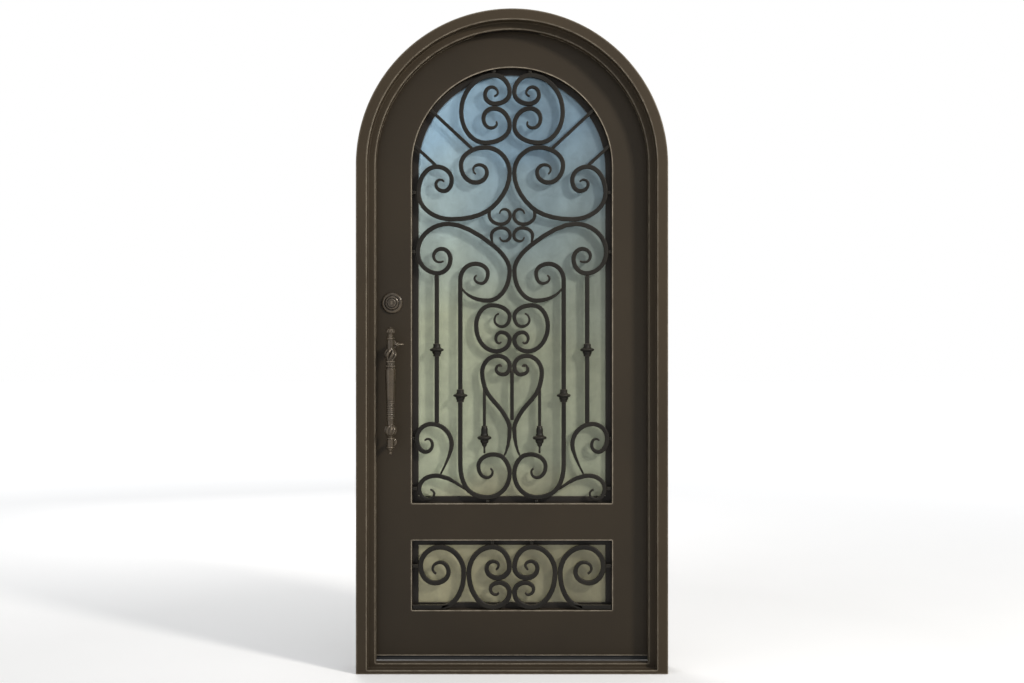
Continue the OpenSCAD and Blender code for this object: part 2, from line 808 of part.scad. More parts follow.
// radius and height below the tip, from the acorn down to the foot point
pull_profile = [
    [0, 0], [5, 2], [11, 7], [14, 14], [13, 18], [9, 23], [8.5, 29], [13, 35], [13.5, 41],
    [post_seat_r, 44], [post_seat_r, 68], [18, 76], [19, 86], [15, 98], [12, 104], [15, 107],
    [15, 113], [12, 117], [15, 121], [15, 127], [13, 130], [16, 133], [16, 144], [12.5, 229],
    [14, 233], [12, 240], [13.5, 248], [12, 255], [13, 263], [12, 270], [12.5, 279], [11, 290],
    [11, 306], [19, 316], [20, 326], [13, 336], [9, 341], [post_seat_r, 348],
    [post_seat_r, 374], [7, 384], [4, 391], [4, 396], [0, 398]
];

module pull(y) {
    translate([lock_x, y, pull_top_z]) rotate_extrude($fn = 64)
        polygon([for (p = pull_profile) [p[0], -p[1]]]);
}

// side is -1 outdoors and 1 indoors
module pull_posts(face_y, side) {
    plate_r = 15;
    plate_t = 5;
    for (z = [latch_z, low_post_z]) difference() {
        translate([lock_x, face_y, z]) rotate([side > 0 ? -90 : 90, 0, 0]) {
            cylinder(r = plate_r, h = plate_t, $fn = 64);
            cylinder(r = post_r, h = pull_out, $fn = 64);
        }
        translate([lock_x, face_y + side * pull_out, z - 40])
            cylinder(r = post_seat_r + weld_gap, h = 80, $fn = 64);
    }
}

module front_pull() {
    color([0.29, 0.25, 0.2]) pull(leaf_front_y - pull_out);
}

module front_pull_posts() {
    color([0.29, 0.25, 0.2]) {
        pull_posts(leaf_front_y, -1);
        translate([lock_x + post_r - 1.5, thumb_y, latch_z]) rotate([0, 90, 0])
            cylinder(r = thumb_pin_r, h = thumb_x + thumb_hub_w + 1 - lock_x - post_r + 1.5, $fn = 48);
    }
}

module back_pull() {
    color([0.29, 0.25, 0.2]) pull(back_y + pull_out);
}

module back_pull_posts() {
    color([0.29, 0.25, 0.2]) pull_posts(back_y, 1);
}

module thumb_lever() {
    arm_w = 6;
    arm_t = 4;
    color([0.29, 0.25, 0.2]) difference() {
        union() {
            translate([thumb_x, thumb_y, latch_z]) rotate([0, 90, 0])
                cylinder(r = thumb_hub_r, h = thumb_hub_w, $fn = 48);
            translate([thumb_x + thumb_hub_w - arm_w, dish_y, latch_z - arm_t / 2])
                cube([arm_w, thumb_y - dish_y, arm_t]);
            translate([thumb_x + thumb_hub_w - arm_w, dish_y - arm_w / 2, latch_z - arm_t / 2])
                cube([dish_x - thumb_x - thumb_hub_w + arm_w, arm_w, arm_t]);
            translate([dish_x, dish_y, latch_z - dish_t / 2]) cylinder(r = dish_r, h = dish_t, $fn = 64);
        }
        translate([thumb_x - cut, thumb_y, latch_z]) rotate([0, 90, 0])
            cylinder(r = thumb_pin_r + thumb_play, h = thumb_hub_w + 2 * cut, $fn = 48);
    }
}

sill();
jamb_lock_side();
jamb_hinge_side();
frame_arch();
stop_lock_side();
stop_hinge_side();
stop_arch();
weather_seal();
strike_plates();
hinge_frame_knuckles();
hinge_pins();
lock_stile();
hinge_stile();
bottom_rail();
middle_rail();
arched_rail();
door_sweep();
upper_glass();
upper_glass_rim();
upper_sash();
lower_glass();
lower_glass_rim();
lower_sash();
crown_scrolls();
fan_scrolls();
centre_curls_upper();
centre_curls_lower();
shoulder_scrolls();
long_scrolls();
mid_scrolls();
heart_scrolls();
heart_stem();
foot_scrolls();
corner_scrolls();
spokes();
outer_pickets();
pendants();
picket_collars();
panel_outer_scrolls();
panel_inner_scrolls();
grille_pegs();
panel_pegs();
deadbolt_rose();
deadbolt_turn();
lock_faceplates();
front_pull();
front_pull_posts();
back_pull();
back_pull_posts();
hinge_leaf_knuckles();
thumb_lever();
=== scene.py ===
"""Arched wrought iron door: the finished look of its frame, leaf, grille, glass, locks and hinges.

Every piece is modelled in metres in the frame's own axes: X along the wall, Y indoors, Z up.
"""

import math

import bmesh
import bpy
from bpy.props import FloatProperty, FloatVectorProperty, IntProperty, PointerProperty
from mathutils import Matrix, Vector


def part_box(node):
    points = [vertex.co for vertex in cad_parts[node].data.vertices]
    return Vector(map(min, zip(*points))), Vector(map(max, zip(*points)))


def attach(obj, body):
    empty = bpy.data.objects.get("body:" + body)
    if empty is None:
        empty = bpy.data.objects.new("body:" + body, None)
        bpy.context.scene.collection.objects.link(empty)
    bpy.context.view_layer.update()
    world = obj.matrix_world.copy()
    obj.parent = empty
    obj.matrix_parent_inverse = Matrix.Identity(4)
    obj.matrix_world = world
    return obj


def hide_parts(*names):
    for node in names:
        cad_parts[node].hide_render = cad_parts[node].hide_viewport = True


bl_info = {
    "name": "Arched Iron Door",
    "version": (1, 0, 0),
    "blender": (4, 5, 0),
    "location": "View3D > Sidebar > Iron Door",
    "description": "Builds an arched iron entry door round its fixed frame",
    "category": "Object",
}

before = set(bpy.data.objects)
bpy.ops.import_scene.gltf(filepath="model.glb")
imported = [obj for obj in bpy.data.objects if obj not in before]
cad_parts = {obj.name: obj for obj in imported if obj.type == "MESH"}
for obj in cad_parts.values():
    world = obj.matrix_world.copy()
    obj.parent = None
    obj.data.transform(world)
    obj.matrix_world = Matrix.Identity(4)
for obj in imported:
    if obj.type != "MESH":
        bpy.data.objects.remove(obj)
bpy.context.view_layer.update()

MM = 0.001
MERGE = 1e-6
FULL_TURN = 2 * math.pi
CUT_PAST = 5 * MM


# ---- the frame's own sizes ----

def low(node):
    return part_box(node)[0]


def high(node):
    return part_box(node)[1]


def middle(box, axis):
    return (getattr(box[0], axis) + getattr(box[1], axis)) / 2


FRAME_R = high("jamb_hinge_side").x
SPRING_Z = high("jamb_hinge_side").z
FRONT_Y = low("jamb_hinge_side").y
BACK_Y = high("jamb_hinge_side").y
REBATE_R = low("jamb_hinge_side").x
BAND_R = high("stop_hinge_side").x
STOP_R = low("stop_hinge_side").x
STOP_FRONT_Y = low("stop_hinge_side").y
STOP_BACK_Y = high("stop_hinge_side").y
LEAF_R = high("hinge_stile").x
OPEN_R = low("hinge_stile").x
LEAF_FRONT_Y = low("hinge_stile").y
LEAF_FOOT_Z = low("hinge_stile").z
PANEL_Z0 = high("bottom_rail").z
PANEL_Z1 = low("middle_rail").z
MAIN_Z0 = high("middle_rail").z
SILL_STOP_Z = high("sill").z
SEAL_OUT_R = high("weather_seal").x
SEAL_FRONT_Y = low("weather_seal").y
LOCK_X = middle(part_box("front_pull"), "x")
DEADBOLT_Z = middle(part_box("deadbolt_rose"), "z")
ROSE_R = (high("deadbolt_rose").x - low("deadbolt_rose").x) / 2
PULL_TOP_Z = high("front_pull").z
PULL_Y = middle(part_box("front_pull"), "y")
BACK_PULL_Y = middle(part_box("back_pull"), "y")
SILL_FRONT_H = 13 * MM
SILL_BACK_H = 20 * MM

ANCHOR_LEVELS = (0.4, 1.4)
ANCHOR_Y = 38.5 * MM
ANCHOR_R = 5.5 * MM
STRIKE_POCKET = 17 * MM
FACEPLATE_HALF = 35 * MM
GLAZING_LIP = 19 * MM
COLLAR_HALF = 20 * MM
KNOP_RISE = 48 * MM
PLATE_R = 15 * MM
BARREL_R, BARREL_H, TAB_T = 9 * MM, 30 * MM, 6 * MM
PIN_LENGTH = 91 * MM
EYE_DISTANCE, EYE_LEVEL, LENS = 4.2, 1.028, 47.83


# ---- properties ----

COLOUR = {"subtype": "COLOR", "size": 3, "min": 0, "max": 1}


class DoorFinishes(bpy.types.PropertyGroup):
    leaf_paint: FloatVectorProperty(
        name="Leaf paint", description="Colour of the leaf's satin paint",
        **COLOUR, default=(0.0285, 0.0208, 0.0122))
    frame_paint: FloatVectorProperty(
        name="Frame paint", description="Colour of the frame's satin paint",
        **COLOUR, default=(0.038, 0.027, 0.015))
    iron: FloatVectorProperty(
        name="Iron", description="Colour of the grille's dark iron",
        **COLOUR, default=(0.0085, 0.0074, 0.0054))
    bronze: FloatVectorProperty(
        name="Bronze", description="Colour of the oil-rubbed pulls and locks",
        **COLOUR, default=(0.050, 0.037, 0.023))
    # Edge colour: rubbed wear and a painted highlight together.
    rubbed_edge_highlight: FloatVectorProperty(
        name="Rubbed edge and painted highlight", description="Colour of rubbed edges and their painted highlight",
        **COLOUR, default=(0.46, 0.40, 0.31))
    # The glass colours carry painted reflections: sky under the arch, greenery lower down.
    glass_top_with_reflection: FloatVectorProperty(
        name="Glass, top, with painted sky reflection", description="Colour of the frosted glass under the arch, with a painted sky reflection",
        **COLOUR, default=(0.215, 0.325, 0.41))
    glass_foot_with_reflection: FloatVectorProperty(
        name="Glass, foot, with painted greenery reflection", description="Colour of the frosted glass at the tall light's foot, with a painted reflection of greenery",
        **COLOUR, default=(0.39, 0.42, 0.30))


class DoorSizes(bpy.types.PropertyGroup):
    sheet_edge: FloatProperty(
        name="Sheet edge", description="Rounding of the folded steel's edges",
        unit="LENGTH", min=0.0005, max=0.005, default=0.0028)
    bar_edge: FloatProperty(
        name="Bar edge", description="Rounding of the grille's bars",
        unit="LENGTH", min=0.0005, max=0.003, default=0.0026)
    arch_steps: IntProperty(
        name="Arch steps", description="Number of sides of a full circle in the arches",
        min=64, max=512, default=256)
    turned_steps: IntProperty(
        name="Turned steps", description="Number of sides of a turned piece",
        min=24, max=128, default=72)


def finishes():
    return bpy.context.scene.door_finishes


def sizes():
    return bpy.context.scene.door_sizes


MATERIALS = {}


# ---- modelling by hand ----

def deselect():
    if bpy.context.mode != "OBJECT":
        bpy.ops.object.mode_set(mode="OBJECT")
    bpy.ops.object.select_all(action="DESELECT")


def activate(piece):
    deselect()
    piece.select_set(True)
    bpy.context.view_layer.objects.active = piece
    return piece


def settle(name):
    """Gives the new primitive its name and puts its place into its mesh."""
    piece = bpy.context.object
    piece.name = name
    piece.data.name = name
    bpy.ops.object.transform_apply(location=True, rotation=True, scale=True)
    return piece


def edit(piece, kind="VERT"):
    activate(piece)
    bpy.ops.object.mode_set(mode="EDIT")
    bpy.ops.mesh.select_mode(type=kind)
    return bmesh.from_edit_mesh(piece.data)


def pick(piece, kind, test):
    """Selects only the vertices, edges or faces that pass the test."""
    bpy.ops.mesh.select_all(action="DESELECT")
    mesh = bmesh.from_edit_mesh(piece.data)
    for item in getattr(mesh, kind):
        if test(item):
            item.select_set(True)
    mesh.select_flush_mode()
    bmesh.update_edit_mesh(piece.data)


def pick_all():
    bpy.ops.mesh.select_all(action="SELECT")


def close_edit(piece):
    bpy.ops.object.mode_set(mode="OBJECT")
    return piece


def apply_modifier(piece, kind, **settings):
    activate(piece)
    modifier = piece.modifiers.new(kind.title(), kind)
    for key, value in settings.items():
        setattr(modifier, key, value)
    bpy.ops.object.modifier_apply(modifier=modifier.name)
    return piece


def combine(target, tool, operation):
    """Adds a tool to a piece or takes it away, and throws the tool away."""
    apply_modifier(target, "BOOLEAN", object=tool, operation=operation, solver="EXACT")
    bpy.data.objects.remove(tool)
    return target


def carve(target, *tools):
    for tool in tools:
        combine(target, tool, "DIFFERENCE")
    return target


def tidy_mesh(piece, flat_angle=0.3):
    """Merges doubles, melts flat seams and turns the faces outwards."""
    edit(piece)
    pick_all()
    bpy.ops.mesh.remove_doubles(threshold=MERGE)
    bpy.ops.mesh.dissolve_limited(angle_limit=math.radians(flat_angle))
    bpy.ops.mesh.normals_make_consistent(inside=False)
    return close_edit(piece)


def soften(piece, width, segments=3, angle=28, clamp=True):
    """Rounds the sharp edges and keeps the flat faces flat."""
    apply_modifier(
        piece, "BEVEL", width=width, segments=segments, limit_method="ANGLE",
        angle_limit=math.radians(angle), use_clamp_overlap=clamp, miter_outer="MITER_ARC")
    return shade(piece)


def shade(piece, angle=40):
    activate(piece)
    bpy.ops.object.shade_smooth_by_angle(angle=math.radians(angle))
    return apply_modifier(piece, "WEIGHTED_NORMAL", weight=80, keep_sharp=True)


def join(name, parts):
    deselect()
    for part in parts:
        part.select_set(True)
    bpy.context.view_layer.objects.active = parts[0]
    if len(parts) > 1:
        bpy.ops.object.join()
    parts[0].name = name
    parts[0].data.name = name
    return parts[0]


def block(name, corner, opposite):
    """A square block between two corners."""
    deselect()
    centre = [(a + b) / 2 for a, b in zip(corner, opposite)]
    bpy.ops.mesh.primitive_cube_add(size=1, location=centre)
    bpy.context.object.scale = [abs(b - a) for a, b in zip(corner, opposite)]
    return settle(name)


def arched_slab(name, radius, foot_z, front_y, back_y):
    """A slab with a round head: half a disc, drawn down to its foot and back through its depth."""
    deselect()
    bpy.ops.mesh.primitive_circle_add(
        vertices=sizes().arch_steps, radius=radius, fill_type="NGON",
        location=(0, front_y, SPRING_Z), rotation=(math.pi / 2, 0, 0))
    piece = settle(name)
    edit(piece, "EDGE")
    pick_all()
    bpy.ops.mesh.bisect(
        plane_co=(0, front_y, SPRING_Z), plane_no=(0, 0, 1), clear_inner=True)
    pick(piece, "edges", lambda e: all(abs(v.co.z - SPRING_Z) < MM / 10 for v in e.verts))
    bpy.ops.mesh.extrude_region_move(TRANSFORM_OT_translate={"value": (0, 0, foot_z - SPRING_Z)})
    pick_all()
    bpy.ops.mesh.extrude_region_move(TRANSFORM_OT_translate={"value": (0, back_y - front_y, 0)})
    close_edit(piece)
    return tidy_mesh(piece)


def turned(name, profile, centre, along=(0, 0, 1), outwards=(1, 0, 0), steps=None):
    """Spins a profile of (radius, distance along the axis) round an axis through a centre."""
    centre, along, outwards = Vector(centre), Vector(along), Vector(outwards)
    places = [centre + outwards * r + along * t for r, t in profile]
    deselect()
    bpy.ops.mesh.primitive_plane_add(size=MM, location=places[0])
    piece = settle(name)
    edit(piece)
    pick_all()
    bpy.ops.mesh.merge(type="CENTER")
    for here, there in zip(places, places[1:]):
        bpy.ops.mesh.extrude_region_move(TRANSFORM_OT_translate={"value": there - here})
    pick_all()
    bpy.ops.mesh.spin(
        steps=steps or sizes().turned_steps, angle=FULL_TURN, center=centre, axis=along)
    pick_all()
    bpy.ops.mesh.remove_doubles(threshold=MERGE * 5)
    bpy.ops.mesh.normals_make_consistent(inside=False)
    return close_edit(piece)


def rod(name, centre, along, radius, length, edge=0.4 * MM):
    """A round rod with eased ends, starting at its centre point."""
    side = (1, 0, 0) if abs(along[0]) < 0.5 else (0, 1, 0)
    return turned(name, [
        (0, 0), (radius - edge, 0), (radius, edge), (radius, length - edge),
        (radius - edge, length), (0, length),
    ], centre, along, side, 48)


def copy_of(node, name):
    """A copy of a frame node's mesh, merged, with the seams across its sides melted."""
    piece = bpy.data.objects.new(name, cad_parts[node].data.copy())
    bpy.context.scene.collection.objects.link(piece)
    activate(piece)
    bpy.ops.mesh.customdata_custom_splitnormals_clear()
    piece.data.materials.clear()
    edit(piece)
    pick_all()
    bpy.ops.mesh.remove_doubles(threshold=MERGE)
    close_edit(piece)
    edit(piece, "FACE")
    pick(piece, "faces", lambda f: abs(f.normal.y) < 0.5)
    bpy.ops.mesh.tris_convert_to_quads(
        face_threshold=math.radians(0.5), shape_threshold=math.radians(180))
    pick_all()
    bpy.ops.mesh.normals_make_consistent(inside=False)
    return close_edit(piece)


def finish_piece(piece, body, slot, *nodes):
    """Gives a piece its finish and its body, and hides the frame nodes it stands for."""
    piece.data.materials.clear()
    piece.data.materials.append(MATERIALS[slot])
    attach(piece, body)
    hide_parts(*nodes)
    return piece


# ---- profiles of turned work ----

def bead(start, end, base, crown, points=6):
    """A half-round bead on a turned piece, from one distance to another."""
    return [
        (base + (crown - base) * math.sin(math.pi * i / points),
         start + (end - start) * i / points)
        for i in range(points + 1)
    ]


def curve_through(points, steps=5):
    """A smooth profile through a few points."""
    places = [Vector(p) for p in points]
    places = [places[0]] + places + [places[-1]]
    out = []
    for a, b, c, d in zip(places, places[1:], places[2:], places[3:]):
        for i in range(steps):
            t = i / steps
            out.append(0.5 * (
                2 * b + (c - a) * t + (2 * a - 5 * b + 4 * c - d) * t ** 2
                + (3 * b - a - 3 * c + d) * t ** 3))
    out.append(places[-1])
    return [(max(p[0], 0), p[1]) for p in out]


def scaled(profile):
    return [(r * MM, t * MM) for r, t in profile]


# ---- material groups ----

def new_group(name, inputs, outputs):
    group = bpy.data.node_groups.new(name, "ShaderNodeTree")
    for label, kind, value in inputs:
        socket = group.interface.new_socket(name=label, in_out="INPUT", socket_type=kind)
        socket.default_value = value
    for label, kind in outputs:
        group.interface.new_socket(name=label, in_out="OUTPUT", socket_type=kind)
    start = group.nodes.new("NodeGroupInput")
    end = group.nodes.new("NodeGroupOutput")
    return group, start, end


def node(tree, kind, links=None, **values):
    """Adds a node, sets its fields and values, and links its inputs."""
    made = tree.nodes.new(kind)
    for key, value in values.items():
        if hasattr(made, key):
            setattr(made, key, value)
        else:
            made.inputs[key.replace("_", " ")].default_value = value
    for key, source in (links or {}).items():
        tree.links.new(source, made.inputs[key])
    return made


def fill(tree, socket, value):
    """Sets a socket to a number or a colour, or links it to another node's output."""
    if isinstance(value, (int, float)):
        socket.default_value = value
    elif isinstance(value, (tuple, list)):
        socket.default_value = (*value[:3], 1)
    else:
        tree.links.new(value, socket)


def object_place(tree):
    return node(tree, "ShaderNodeTexCoord").outputs["Object"]


def noise(tree, place, scale, detail=2.0, roughness=0.5, distortion=0.0):
    made = node(
        tree, "ShaderNodeTexNoise", {"Vector": place},
        Detail=detail, Roughness=roughness, Distortion=distortion)
    fill(tree, made.inputs["Scale"], scale)
    return made.outputs["Fac"]


def maths(tree, operation, first, second, clamp=False):
    made = tree.nodes.new("ShaderNodeMath")
    made.operation = operation
    made.use_clamp = clamp
    for socket, value in zip(made.inputs, (first, second)):
        fill(tree, socket, value)
    return made.outputs[0]


def remap(tree, value, from_min, from_max, to_min=0.0, to_max=1.0):
    """Stretches a value from one range to another, held at both ends."""
    return node(
        tree, "ShaderNodeMapRange", {"Value": value},
        From_Min=from_min, From_Max=from_max, To_Min=to_min, To_Max=to_max).outputs[0]


def mix_colour(tree, factor, first, second, blend="MIX"):
    made = tree.nodes.new("ShaderNodeMix")
    made.data_type = "RGBA"
    made.blend_type = blend
    sockets = (made.inputs[0], made.inputs[6], made.inputs[7])
    for socket, value in zip(sockets, (factor, first, second)):
        fill(tree, socket, value)
    return made.outputs[2]


def edge_wear_and_highlight_group():
    """Finds convex edges for rubbed wear and a painted highlight, broken up by a grain."""
    group, start, end = new_group(
        "Rubbed edges",
        [("Radius", "NodeSocketFloat", 0.003), ("Amount", "NodeSocketFloat", 1.0),
         ("Grain", "NodeSocketFloat", 60.0)],
        [("Mask", "NodeSocketFloat")])
    place = object_place(group)
    thin = node(
        group, "ShaderNodeAmbientOcclusion", {"Distance": start.outputs["Radius"]},
        samples=6, inside=True)
    edge = remap(group, thin.outputs["AO"], 0.92, 0.62)
    grain = noise(group, place, start.outputs["Grain"], 4.0, 0.6)
    broken = remap(group, grain, 0.3, 0.6, 0.45, 1.0)
    wear_and_highlight = maths(group, "MULTIPLY", edge, broken)
    wear_and_highlight = maths(group, "MULTIPLY", wear_and_highlight, start.outputs["Amount"], clamp=True)
    group.links.new(wear_and_highlight, end.inputs["Mask"])
    return group


def mottle_group():
    """Slow and fine changes of tone over a painted or oiled surface."""
    group, start, end = new_group(
        "Mottle",
        [("Broad", "NodeSocketFloat", 3.0), ("Fine", "NodeSocketFloat", 90.0)],
        [("Tone", "NodeSocketFloat"), ("Grain", "NodeSocketFloat")])
    place = object_place(group)
    broad = noise(group, place, start.outputs["Broad"], 3.0)
    fine = noise(group, place, start.outputs["Fine"], 5.0, 0.65)
    group.links.new(broad, end.inputs["Tone"])
    group.links.new(fine, end.inputs["Grain"])
    return group


def dust_group():
    """Dust that settles on ledges, thicker where a surface faces up."""
    group, start, end = new_group(
        "Ledge dust", [("Amount", "NodeSocketFloat", 0.5)], [("Mask", "NodeSocketFloat")])
    place = object_place(group)
    normal = node(group, "ShaderNodeNewGeometry").outputs["Normal"]
    upwards = node(group, "ShaderNodeSeparateXYZ", {"Vector": normal}).outputs["Z"]
    ledge = remap(group, upwards, 0.35, 1.0)
    grain = noise(group, place, 140.0, 4.0, 0.7)
    patchy = remap(group, grain, 0.35, 0.7, 0.2, 1.0)
    mask = maths(group, "MULTIPLY", ledge, patchy)
    mask = maths(group, "MULTIPLY", mask, start.outputs["Amount"], clamp=True)
    group.links.new(mask, end.inputs["Mask"])
    return group


GROUPS = {}


def build_groups():
    GROUPS["edges"] = edge_wear_and_highlight_group()
    GROUPS["mottle"] = mottle_group()
    GROUPS["dust"] = dust_group()


def use_group(tree, key, **values):
    made = tree.nodes.new("ShaderNodeGroup")
    made.node_tree = GROUPS[key]
    for label, value in values.items():
        made.inputs[label].default_value = value
    return made.outputs


def new_material(name, metallic=0.0, coat=0.0):
    material = bpy.data.materials.new(name)
    material.use_nodes = True
    tree = material.node_tree
    shader = tree.nodes["Principled BSDF"]
    shader.inputs["Metallic"].default_value = metallic
    if coat:
        shader.inputs["Coat Weight"].default_value = coat
        shader.inputs["Coat Roughness"].default_value = 0.16
    return material, tree, shader


def darker(colour, share):
    return tuple(c * share for c in colour[:3])


def bump(tree, shader, height, strength, distance):
    made = node(tree, "ShaderNodeBump", {"Height": height}, Strength=strength, Distance=distance)
    tree.links.new(made.outputs[0], shader.inputs["Normal"])


def painted_steel(name, colour, edge_amount=0.55, roughness=0.42, edge_radius=0.0045):
    """Satin bronze paint on steel: a faint orange peel, a slow change of tone, rubbed edges with a
    painted highlight.
    """
    material, tree, shader = new_material(name)
    shader.inputs["Specular IOR Level"].default_value = 0.2
    shades = use_group(tree, "mottle", Broad=2.2, Fine=420.0)
    edges = use_group(tree, "edges", Radius=edge_radius, Amount=edge_amount, Grain=35.0)
    dust = use_group(tree, "dust", Amount=0.22)
    tone = remap(tree, shades["Tone"], 0.3, 0.7)
    paint = mix_colour(tree, tone, darker(colour, 0.84), darker(colour, 1.14))
    paint = mix_colour(tree, dust["Mask"], paint, (0.11, 0.10, 0.085))
    # Convex edges lightened: rubbed wear and a painted highlight.
    paint = mix_colour(tree, edges["Mask"], paint, tuple(finishes().rubbed_edge_highlight))
    tree.links.new(paint, shader.inputs["Base Color"])
    gloss = remap(tree, shades["Tone"], 0.25, 0.75, roughness - 0.05, roughness + 0.08)
    tree.links.new(gloss, shader.inputs["Roughness"])
    bump(tree, shader, shades["Grain"], 0.18, 0.0004)
    return material


def forged_iron(name, colour):
    """Dark forged iron: shallow hammer marks, a waxed bloom and edges rubbed to metal, lightened
    further as a painted highlight.
    """
    material, tree, shader = new_material(name, metallic=0.12)
    shader.inputs["Specular IOR Level"].default_value = 0.22
    place = object_place(tree)
    shades = use_group(tree, "mottle", Broad=9.0, Fine=260.0)
    edges = use_group(tree, "edges", Radius=0.003, Amount=0.5, Grain=70.0)
    dust = use_group(tree, "dust", Amount=0.5)
    tone = remap(tree, shades["Tone"], 0.3, 0.72)
    iron = mix_colour(tree, tone, darker(colour, 0.6), darker(colour, 1.7))
    iron = mix_colour(tree, dust["Mask"], iron, (0.07, 0.06, 0.045))
    # Iron edges lightened: rubbed to metal and a painted highlight.
    iron = mix_colour(tree, edges["Mask"], iron, (0.10, 0.085, 0.065))
    tree.links.new(iron, shader.inputs["Base Color"])
    gloss = remap(tree, shades["Grain"], 0.3, 0.7, 0.34, 0.56)
    tree.links.new(gloss, shader.inputs["Roughness"])
    hammer = node(
        tree, "ShaderNodeTexVoronoi", {"Vector": place}, feature="SMOOTH_F1", Scale=85.0,
        Smoothness=0.9)
    relief = maths(tree, "MULTIPLY", hammer.outputs["Distance"], 1.3)
    relief = maths(tree, "ADD", relief, maths(tree, "MULTIPLY", shades["Grain"], 0.35))
    bump(tree, shader, relief, 0.35, 0.0012)
    return material


def aged_bronze(name, colour):
    """Oil-rubbed bronze: dark patina in the hollows deepened with painted shade, and edges
    polished by hands and lightened with a painted highlight.
    """
    material, tree, shader = new_material(name, metallic=0.4, coat=0.3)
    shader.inputs["Specular IOR Level"].default_value = 0.3
    shades = use_group(tree, "mottle", Broad=22.0, Fine=300.0)
    edges = use_group(tree, "edges", Radius=0.0025, Amount=1.0, Grain=120.0)
    # Ambient occlusion darkens the hollows: dark patina, deepened as painted shade.
    hollow_patina_and_shade = node(tree, "ShaderNodeAmbientOcclusion", samples=8, Distance=0.006)
    tone = remap(tree, shades["Tone"], 0.3, 0.7)
    metal = mix_colour(tree, tone, darker(colour, 0.7), darker(colour, 1.5))
    hollow = remap(tree, hollow_patina_and_shade.outputs["AO"], 0.4, 0.95, 0.12, 1.0)
    metal = mix_colour(tree, 1.0, metal, hollow, "MULTIPLY")
    # Polished edges, lightened with a painted highlight.
    metal = mix_colour(tree, edges["Mask"], metal, (0.34, 0.28, 0.21))
    tree.links.new(metal, shader.inputs["Base Color"])
    gloss = remap(tree, shades["Grain"], 0.3, 0.7, 0.2, 0.36)
    tree.links.new(gloss, shader.inputs["Roughness"])
    bump(tree, shader, shades["Grain"], 0.12, 0.0004)
    return material


def brushed_brass(name):
    material, tree, shader = new_material(name, metallic=1.0)
    place = object_place(tree)
    stretched = node(tree, "ShaderNodeMapping", {"Vector": place}, Scale=(700.0, 700.0, 25.0))
    lines = noise(tree, stretched.outputs[0], 1.0, 3.0)
    metal = mix_colour(tree, lines, (0.30, 0.23, 0.13), (0.55, 0.44, 0.27))
    tree.links.new(metal, shader.inputs["Base Color"])
    gloss = remap(tree, lines, 0.0, 1.0, 0.25, 0.45)
    tree.links.new(gloss, shader.inputs["Roughness"])
    bump(tree, shader, lines, 0.1, 0.0003)
    return material


def rubber(name):
    material, tree, shader = new_material(name)
    shades = use_group(tree, "mottle", Broad=14.0, Fine=700.0)
    tone = mix_colour(tree, shades["Tone"], (0.008, 0.008, 0.009), (0.028, 0.028, 0.028))
    tree.links.new(tone, shader.inputs["Base Color"])
    shader.inputs["Roughness"].default_value = 0.75
    bump(tree, shader, shades["Grain"], 0.2, 0.0003)
    return material


def frosted_glass(name):
    """Satin glass: its tint with a painted reflection of sky under the arch and of greenery lower
    down, painted light on the left and painted shade on the right, and soft streaks.
    """
    material, tree, shader = new_material(name)
    shader.inputs["Transmission Weight"].default_value = 0.5
    shader.inputs["IOR"].default_value = 1.48
    place = object_place(tree)
    height = node(tree, "ShaderNodeSeparateXYZ", {"Vector": place}).outputs["Z"]
    drift = noise(tree, place, 2.6, 2.0)
    wander = maths(tree, "MULTIPLY", maths(tree, "SUBTRACT", drift, 0.5), 0.55)
    level = maths(tree, "ADD", height, wander)
    rise = remap(tree, level, 0.15, 1.9)
    side = node(tree, "ShaderNodeSeparateXYZ", {"Vector": place}).outputs["X"]
    # The height ramp paints a reflection: sky-blue at the top, greenish lower down, darker and
    # warmer in the low panel.
    ramp = node(tree, "ShaderNodeValToRGB", {"Fac": rise})
    top, foot = tuple(finishes().glass_top_with_reflection), tuple(finishes().glass_foot_with_reflection)
    half_way = tuple(0.45 * a + 0.5 * b for a, b in zip(top, foot))
    panel = (foot[0] * 0.86, foot[1] * 0.75, foot[2] * 0.66)
    stops = [(0.0, panel), (0.16, panel), (0.26, foot), (0.5, darker(foot, 0.97)),
             (0.68, half_way), (0.84, top), (1.0, top)]
    while len(ramp.color_ramp.elements) < len(stops):
        ramp.color_ramp.elements.new(0.5)
    for element, (position, colour) in zip(ramp.color_ramp.elements, stops):
        element.position = position
        element.color = (*colour[:3], 1)
    drawn = node(tree, "ShaderNodeMapping", {"Vector": place}, Scale=(11.0, 11.0, 1.4))
    streaks = noise(tree, drawn.outputs[0], 1.0, 5.0, 0.58, 0.15)
    shadow = remap(tree, streaks, 0.32, 0.68, 0.8, 1.12)
    clouds = noise(tree, place, 26.0, 5.0, 0.6, 0.8)
    bloom = remap(tree, clouds, 0.35, 0.65, 0.88, 1.1)
    # Painted light and shade: the glass is lighter on its left side and darker on its right.
    across = remap(tree, side, -0.32, 0.32, 1.3, 0.68)
    tone = maths(tree, "MULTIPLY", shadow, across)
    tone = maths(tree, "MULTIPLY", tone, bloom)
    colour = mix_colour(tree, 1.0, ramp.outputs["Color"], tone, "MULTIPLY")
    tree.links.new(colour, shader.inputs["Base Color"])
    frost = noise(tree, place, 240.0, 5.0, 0.6)
    pebbles = node(
        tree, "ShaderNodeTexVoronoi", {"Vector": place}, feature="SMOOTH_F1", Scale=130.0,
        Smoothness=1.0)
    gloss = remap(tree, frost, 0.3, 0.7, 0.32, 0.5)
    tree.links.new(gloss, shader.inputs["Roughness"])
    relief = maths(
        tree, "ADD", pebbles.outputs["Distance"], maths(tree, "MULTIPLY", frost, 0.5))
    bump(tree, shader, relief, 0.16, 0.0009)
    return material



